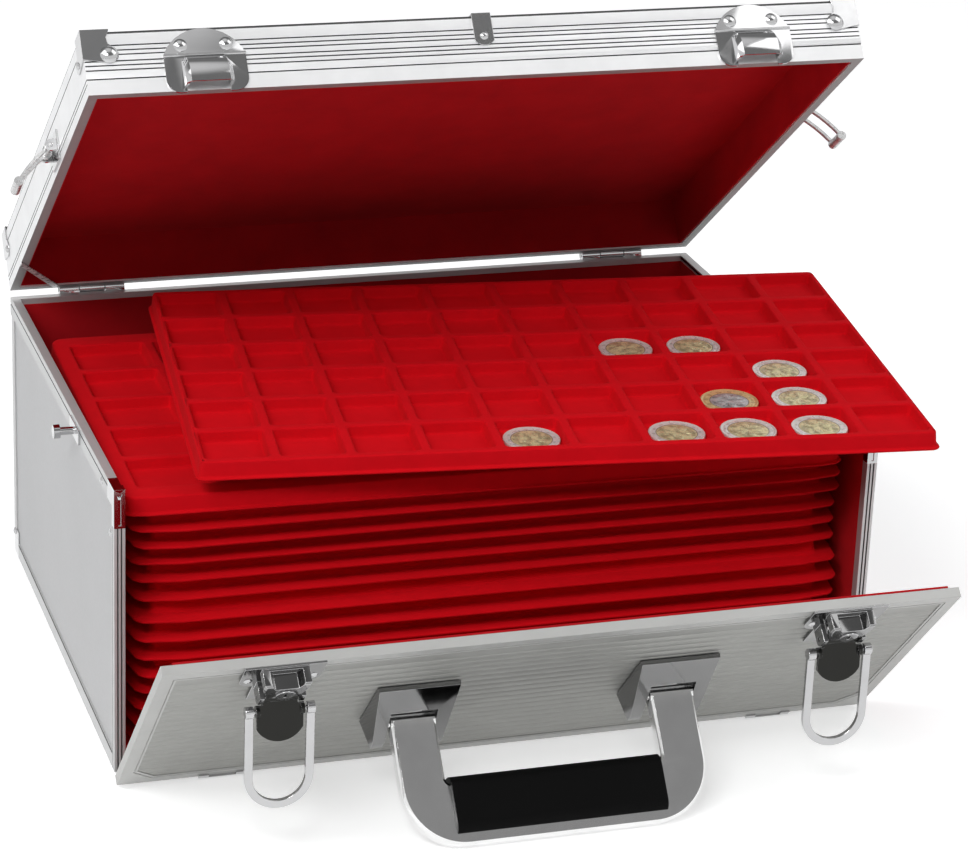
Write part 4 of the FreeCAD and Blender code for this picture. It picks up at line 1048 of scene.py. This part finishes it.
    def build(self, name: str, body: str, place: Matrix, finish: Finish) -> bpy.types.Object:
        """Makes the tray in its place.

        Args:
            name: the piece's and the node's stem.
            body: the body it rides on.
            place: where it lies.
            finish: its finish.

        Returns:
            The piece.
        """
        pocket_points, pocket_quads = self.pockets()
        rim_points, rim_quads = self.rim()
        faces = pocket_quads + shifted(rim_quads, len(pocket_points))
        points = placed(np.concatenate([pocket_points, rim_points]), place)
        piece = add_piece(name, points, faces, finish, None)
        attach(piece, body)
        return piece


def turned_place(yaw: float, pitch: float, roll: float, where: tuple[float, float, float]) -> Matrix:
    """Gives a placement: turned about Z, then tipped about X, then about Y, then moved.

    Args:
        yaw: turn about Z in degrees.
        pitch: turn about X in degrees.
        roll: turn about Y in degrees.
        where: the move in metres.

    Returns:
        The placement.
    """
    turn = (Matrix.Rotation(math.radians(roll), 4, "Y") @ Matrix.Rotation(math.radians(pitch), 4, "X")
            @ Matrix.Rotation(math.radians(yaw), 4, "Z"))
    return Matrix.Translation(Vector(where)) @ turn


@dataclass
class TrayStack:
    """The stacked trays, none of them quite square in the case."""

    lowest: float = 0.0049
    pitch: float = 0.0086
    top: TrayForm = field(default_factory=lambda: TrayForm(
        8, 5, corner=0.010, side_margin=0.0085, end_margin=0.0125))
    lower: TrayForm = field(default_factory=lambda: TrayForm(
        4, 3, flange=0.0100, flange_wall=0.0012, corner=0.014, skirt=0.0018))
    # Each tray's turn in degrees, shift to the right and front edge in millimetres, from the lowest up
    places: tuple[tuple[float, float, float], ...] = (
        (-0.3, 1.2, -116.0), (0.1, 0.8, -115.2), (-0.4, 1.6, -117.0), (-0.1, 1.0, -116.4),
        (0.2, 1.4, -118.2), (-0.2, 0.9, -119.0), (-0.5, 1.5, -119.6), (-0.3, 1.1, -117.6),
        (-0.1, 1.7, -112.8), (-0.4, 1.3, -112.4), (-0.6, 1.0, -113.0), (-0.3, 1.6, -115.0),
        (-0.8, 0.6, -117.4), (-1.5, -1.6, -119.5))

    def build(self) -> None:
        """Makes every stacked tray; the top one has smaller pockets than those below it."""
        top = len(self.places) - 1
        for level, (yaw, x, front) in enumerate(self.places):
            form = self.top if level == top else self.lower
            where = (x * MM, front * MM + form.depth / 2, self.lowest + level * self.pitch)
            name = "tray_%02d" % (level + 1)
            piece = form.build(name + "_shown", name, turned_place(yaw, 0.0, 0.0, where),
                               Finish.TRAY_FLOCK)
            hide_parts(name)
        LOG.info("stack: %d trays", len(self.places))


@dataclass
class LooseTray:
    """The tray laid across the top, with the coins in its pockets."""

    place: Matrix = field(default_factory=lambda: turned_place(-6.33, 1.77, -0.38,
                                                               (0.0381, -0.0363, 0.13736)))
    form: TrayForm = field(default_factory=lambda: TrayForm(10, 6, corner=0.0045))
    coin_pockets: tuple[tuple[int, int], ...] = ((2, 6), (2, 7), (3, 8), (4, 8), (5, 4), (5, 6),
                                                 (5, 7), (5, 8))
    odd_pocket: tuple[int, int] = (4, 7)
    coin_diameter: float = 0.02575
    odd_diameter: float = 0.027
    seed: int = 7

    def pocket_centre(self, row: int, column: int) -> Vector:
        """Gives a pocket's floor centre in the tray's own frame.

        Args:
            row: row from the back.
            column: column from the left.

        Returns:
            The place.
        """
        pitch_x, pitch_y = self.form.pitches()
        x = (column - (self.form.columns - 1) / 2) * pitch_x
        y = ((self.form.rows - 1) / 2 - row) * pitch_y
        return Vector((x, y, self.form.height - self.form.pocket_depth))

    def build(self) -> None:
        """Makes the tray and its coins."""
        tray = self.form.build("loose_tray_shown", "loose_tray", self.place, Finish.TRAY_FLOCK)
        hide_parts("loose_tray")
        turns = np.random.default_rng(self.seed).uniform(0, 360, len(self.coin_pockets))
        coins = []
        for index, (row, column) in enumerate(self.coin_pockets):
            place = (self.place @ Matrix.Translation(self.pocket_centre(row, column))
                     @ Matrix.Rotation(math.radians(turns[index]), 4, "Z"))
            coins.append(Coin(self.coin_diameter).build("coin_%02d" % (index + 1), place, Finish.COIN))
        odd_place = self.place @ Matrix.Translation(self.pocket_centre(*self.odd_pocket))
        odd = Coin(self.odd_diameter, split=ODD_SPLIT)
        coins.append(odd.build("coin_gold_ring", odd_place, Finish.ODD_COIN))
        for coin in coins:
            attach(coin, "loose_tray")
        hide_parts("coins")
        LOG.info("loose tray with %d coins", len(coins))


@dataclass
class Coin:
    """A struck coin: raised rim, bead ring, a joint ring between its metals and a rosette."""

    diameter: float
    thickness: float = 0.0022
    split: float = SPLIT
    petals: int = 8
    beads: int = 12
    relief: float = 0.0003
    # Where the raised rim begins and where the beads stand, as shares of the diameter
    rim_start: float = 0.462
    bead_ring: float = 0.415
    # The rounding of the coin's outer edge: inset as a share of the diameter, the rest in metres
    edge_inset: float = 0.006
    edge_round: float = 0.0002
    edge_drop: float = 0.00003
    around: int = 144
    across: int = 30

    def height(self, radius: np.ndarray, angle: np.ndarray) -> np.ndarray:
        """Works out the face's relief: a rim, a bead ring, a groove at the split and a rosette.

        The rim is a step up at its start, the beads are bumps on their ring, the groove is a dip on
        the split, and the rosette is a disc whose edge goes in and out with the cosine of the petal
        count. Fine veins and a ring of arcs lie on and round it.

        Args:
            radius: distance from the centre as a share of the diameter.
            angle: angle in radians.

        Returns:
            Heights as shares of the relief, where 1 is the rim's top.
        """
        rim = 1 / (1 + np.exp(-(radius - self.rim_start) * 400))
        beads = np.exp(-((radius - self.bead_ring) / 0.012) ** 4) * (np.cos(self.beads * angle) > 0.3)
        groove = -0.6 * np.exp(-((radius - self.split) / 0.007) ** 2)
        reach = 0.17 + 0.11 * np.abs(np.cos(self.petals * angle / 2))
        rosette = 0.9 / (1 + np.exp((radius - reach) * 140)) * (1 - 0.8 * np.exp(-(radius / 0.05) ** 2))
        veins = 0.35 * np.cos(self.petals * 3 * angle) * np.exp(-((radius - 0.14) / 0.06) ** 2)
        arcs = 0.5 * np.exp(-((radius - 0.31) / 0.012) ** 2) * (np.cos(self.petals * angle) > 0)
        return np.clip(rim + 0.6 * beads + groove + rosette + veins + arcs, -0.5, 1.0)

    def build(self, name: str, place: Matrix, finish: Finish) -> bpy.types.Object:
        """Makes the coin lying at a place, underside down.

        Args:
            name: the piece's name.
            place: where its underside's centre lies.
            finish: its metals.

        Returns:
            The piece.
        """
        angle = np.linspace(0, 2 * math.pi, self.around, endpoint=False)
        share = np.linspace(0.012, 0.488, self.across)
        radius, turn = np.meshgrid(share, angle, indexing="ij")
        face = self.thickness - self.relief * (1 - self.height(radius, turn))
        rings = [np.stack([radius * np.cos(turn), radius * np.sin(turn)], axis=-1) * self.diameter]
        heights = [face]
        for inset, z in ((self.edge_inset, self.thickness - self.edge_drop),
                         (0.0, self.thickness - self.edge_round), (0.0, self.edge_round),
                         (self.edge_inset, 0.0)):
            r = np.full((1, self.around), 0.5 - inset)
            rings.append(np.stack([r * np.cos(angle), r * np.sin(angle)], axis=-1) * self.diameter)
            heights.append(np.full((1, self.around), z))
        flat = np.concatenate(rings).reshape(-1, 2)
        points = np.column_stack([flat, np.concatenate(heights).ravel()])
        faces = tube_faces(len(points) // self.around, self.around, both_ends=True)
        piece = add_piece(name, points, faces, finish, 50.0)
        layer = piece.data.uv_layers.new(name="face")
        index = read(piece.data.loops, "vertex_index", kind=np.int32)
        places = read(piece.data.vertices, "co", 3)[:, :2] / self.diameter
        layer.uv.foreach_set("vector", places[index].astype(np.float32).ravel())
        piece.data.transform(place)
        return piece


# Handle grip

@dataclass
class Grip:
    """The black sleeve round the handle's bar, shown as a softly rounded copy of its node."""

    look: NodeLook = NodeLook("handle_grip", "handle", Finish.GRIP, 1.6, 3)

    def build(self) -> None:
        """Makes the grip."""
        self.look.build()
        LOG.info("grip")


# Studio

@dataclass(frozen=True)
class Lamp:
    """A soft rectangular lamp: where it hangs, its length and width in metres, and its power in watts."""

    name: str
    place: tuple[float, float, float]
    size: tuple[float, float]
    watts: float

    def build(self, aim: Vector) -> None:
        """Hangs the lamp.

        Args:
            aim: the point it faces.
        """
        data = bpy.data.lights.new(self.name, "AREA")
        data.shape = "RECTANGLE"
        data.size, data.size_y = self.size
        data.energy = self.watts
        lamp = bpy.data.objects.new(self.name, data)
        lamp.location = self.place
        lamp.rotation_mode = "QUATERNION"
        lamp.rotation_quaternion = (aim - Vector(self.place)).to_track_quat("-Z", "Y")
        bpy.context.scene.collection.objects.link(lamp)


@dataclass
class Studio:
    """Floor, lamps, surroundings and camera."""

    turn_vector: tuple[float, float, float] = (1.93595116, -0.271736392, 0.239080323)
    camera_place: tuple[float, float, float] = (-0.443518, -1.423666, 0.692242)
    focal_px: float = 3348.35
    sensor_width: float = 36.0
    floor_half: float = 6.0
    floor_colour: Colour = (0.86, 0.86, 0.86)
    floor_glow: float = 0.5
    far_glow: float = 0.9
    # Distances from the object between which the floor's glow rises, as the lamps fade out there
    glow_start: float = 1.6
    glow_end: float = 3.2
    lamp_aim: tuple[float, float, float] = (0.0, 0.0, 0.1)
    # Two large lamps high at either side, one in front to the left and a weak one behind
    lamps: tuple[Lamp, ...] = (
        Lamp("left_lamp", (-1.43, -0.38, 1.86), (1.6, 1.4), 14.0),
        Lamp("right_lamp", (1.43, -0.38, 1.86), (1.6, 1.4), 13.0),
        Lamp("front_lamp", (-1.15, -1.6, 1.9), (1.2, 0.5), 27.0),
        Lamp("rear_lamp", (-0.4, 2.4, 1.3), (1.6, 1.0), 7.0))
    ambient: float = 0.22
    ambient_colour: Colour = (0.95, 0.97, 1.0)
    # Brightness of the surround to look at, by the sine of the height above the horizon
    sky: tuple[tuple[float, float], ...] = ((0.42, 1.0), (0.56, 0.26), (0.84, 0.26), (0.95, 0.9))

    def build(self) -> None:
        """Makes the whole studio."""
        self.floor()
        for lamp in self.lamps:
            lamp.build(Vector(self.lamp_aim))
        self.world()
        self.camera()
        view = bpy.context.scene.view_settings
        view.view_transform = "Standard"

    def floor(self) -> None:
        """Makes the pale floor, white to the camera apart from the object's shadow."""
        half = self.floor_half
        mesh = bpy.data.meshes.new("floor")
        z = -FOOT_HEIGHT
        mesh.from_pydata([(-half, -half, z), (half, -half, z), (half, half, z), (-half, half, z)], [],
                         [(0, 1, 2, 3)])
        floor = bpy.data.objects.new("floor", mesh)
        bpy.context.scene.collection.objects.link(floor)
        tree = NodeTree(bpy.data.materials.new("pale_floor"))
        shader = tree.principled(self.floor_colour, 0.9)
        tree.fill(shader, {"Specular IOR Level": 0.1})
        glow = tree.add("ShaderNodeEmission")
        distance = tree.add("ShaderNodeVectorMath", operation="LENGTH")
        tree.link(tree.coordinates(), distance.inputs[0])
        rise = tree.ranged(distance.outputs["Value"], self.floor_glow, self.far_glow,
                           self.glow_start, self.glow_end)
        tree.link(rise, glow.inputs["Strength"])
        both = tree.add("ShaderNodeAddShader")
        tree.link(shader.outputs["BSDF"], both.inputs[0])
        tree.link(glow.outputs["Emission"], both.inputs[1])
        tree.shown_apart(shader.outputs["BSDF"], both.outputs["Shader"])
        mesh.materials.append(tree.owner)

    def world(self) -> None:
        """Sets the surround: white walls and a white ceiling with a darker band between them."""
        world = bpy.data.worlds.new("surround")
        bpy.context.scene.world = world
        tree = NodeTree(world)
        light = tree.add("ShaderNodeBackground", {"Color": (*self.ambient_colour, 1.0),
                                                  "Strength": self.ambient})
        shown = tree.add("ShaderNodeBackground")
        split = tree.add("ShaderNodeSeparateXYZ")
        tree.link(tree.add("ShaderNodeTexCoord").outputs["Generated"], split.inputs[0])
        bands = tree.add("ShaderNodeValToRGB")
        for height, level in self.sky:
            stop = bands.color_ramp.elements.new(height)
            stop.color = (level, level, level, 1.0)
        for end in (0, -1):
            bands.color_ramp.elements[end].color = (1.0, 1.0, 1.0, 1.0)
        tree.link(split.outputs["Z"], bands.inputs["Fac"])
        tree.link(bands.outputs["Color"], shown.inputs["Color"])
        tree.shown_apart(light.outputs[0], shown.outputs[0])

    def camera(self) -> None:
        """Places the camera where the photograph was taken from."""
        data = bpy.data.cameras.new("camera")
        data.sensor_fit = "HORIZONTAL"
        data.sensor_width = self.sensor_width
        data.lens = self.focal_px / IMAGE_WIDTH_PX * self.sensor_width
        data.clip_start, data.clip_end = 0.05, 60.0
        camera = bpy.data.objects.new("camera", data)
        turn = Vector(self.turn_vector)
        rows = Quaternion(turn.normalized(), turn.length).to_matrix()
        axes = Matrix((rows[0], -rows[1], -rows[2])).transposed()
        camera.matrix_world = Matrix.Translation(Vector(self.camera_place)) @ axes.to_4x4()
        bpy.context.scene.collection.objects.link(camera)
        bpy.context.scene.camera = camera


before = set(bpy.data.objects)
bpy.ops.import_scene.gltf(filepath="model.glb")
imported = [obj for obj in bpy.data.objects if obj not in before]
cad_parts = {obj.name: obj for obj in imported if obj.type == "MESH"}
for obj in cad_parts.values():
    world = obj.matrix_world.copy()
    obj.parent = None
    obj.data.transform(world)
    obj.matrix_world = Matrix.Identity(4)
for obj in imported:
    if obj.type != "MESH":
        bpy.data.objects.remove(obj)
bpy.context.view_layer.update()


def main() -> None:
    """Builds the pieces in order."""
    logging.basicConfig(level=logging.INFO, format="%(message)s")
    Metalwork().build()
    Rivets().build()
    TrayStack().build()
    LooseTray().build()
    Grip().build()
    Studio().build()


if __name__ == "__main__":
    main()
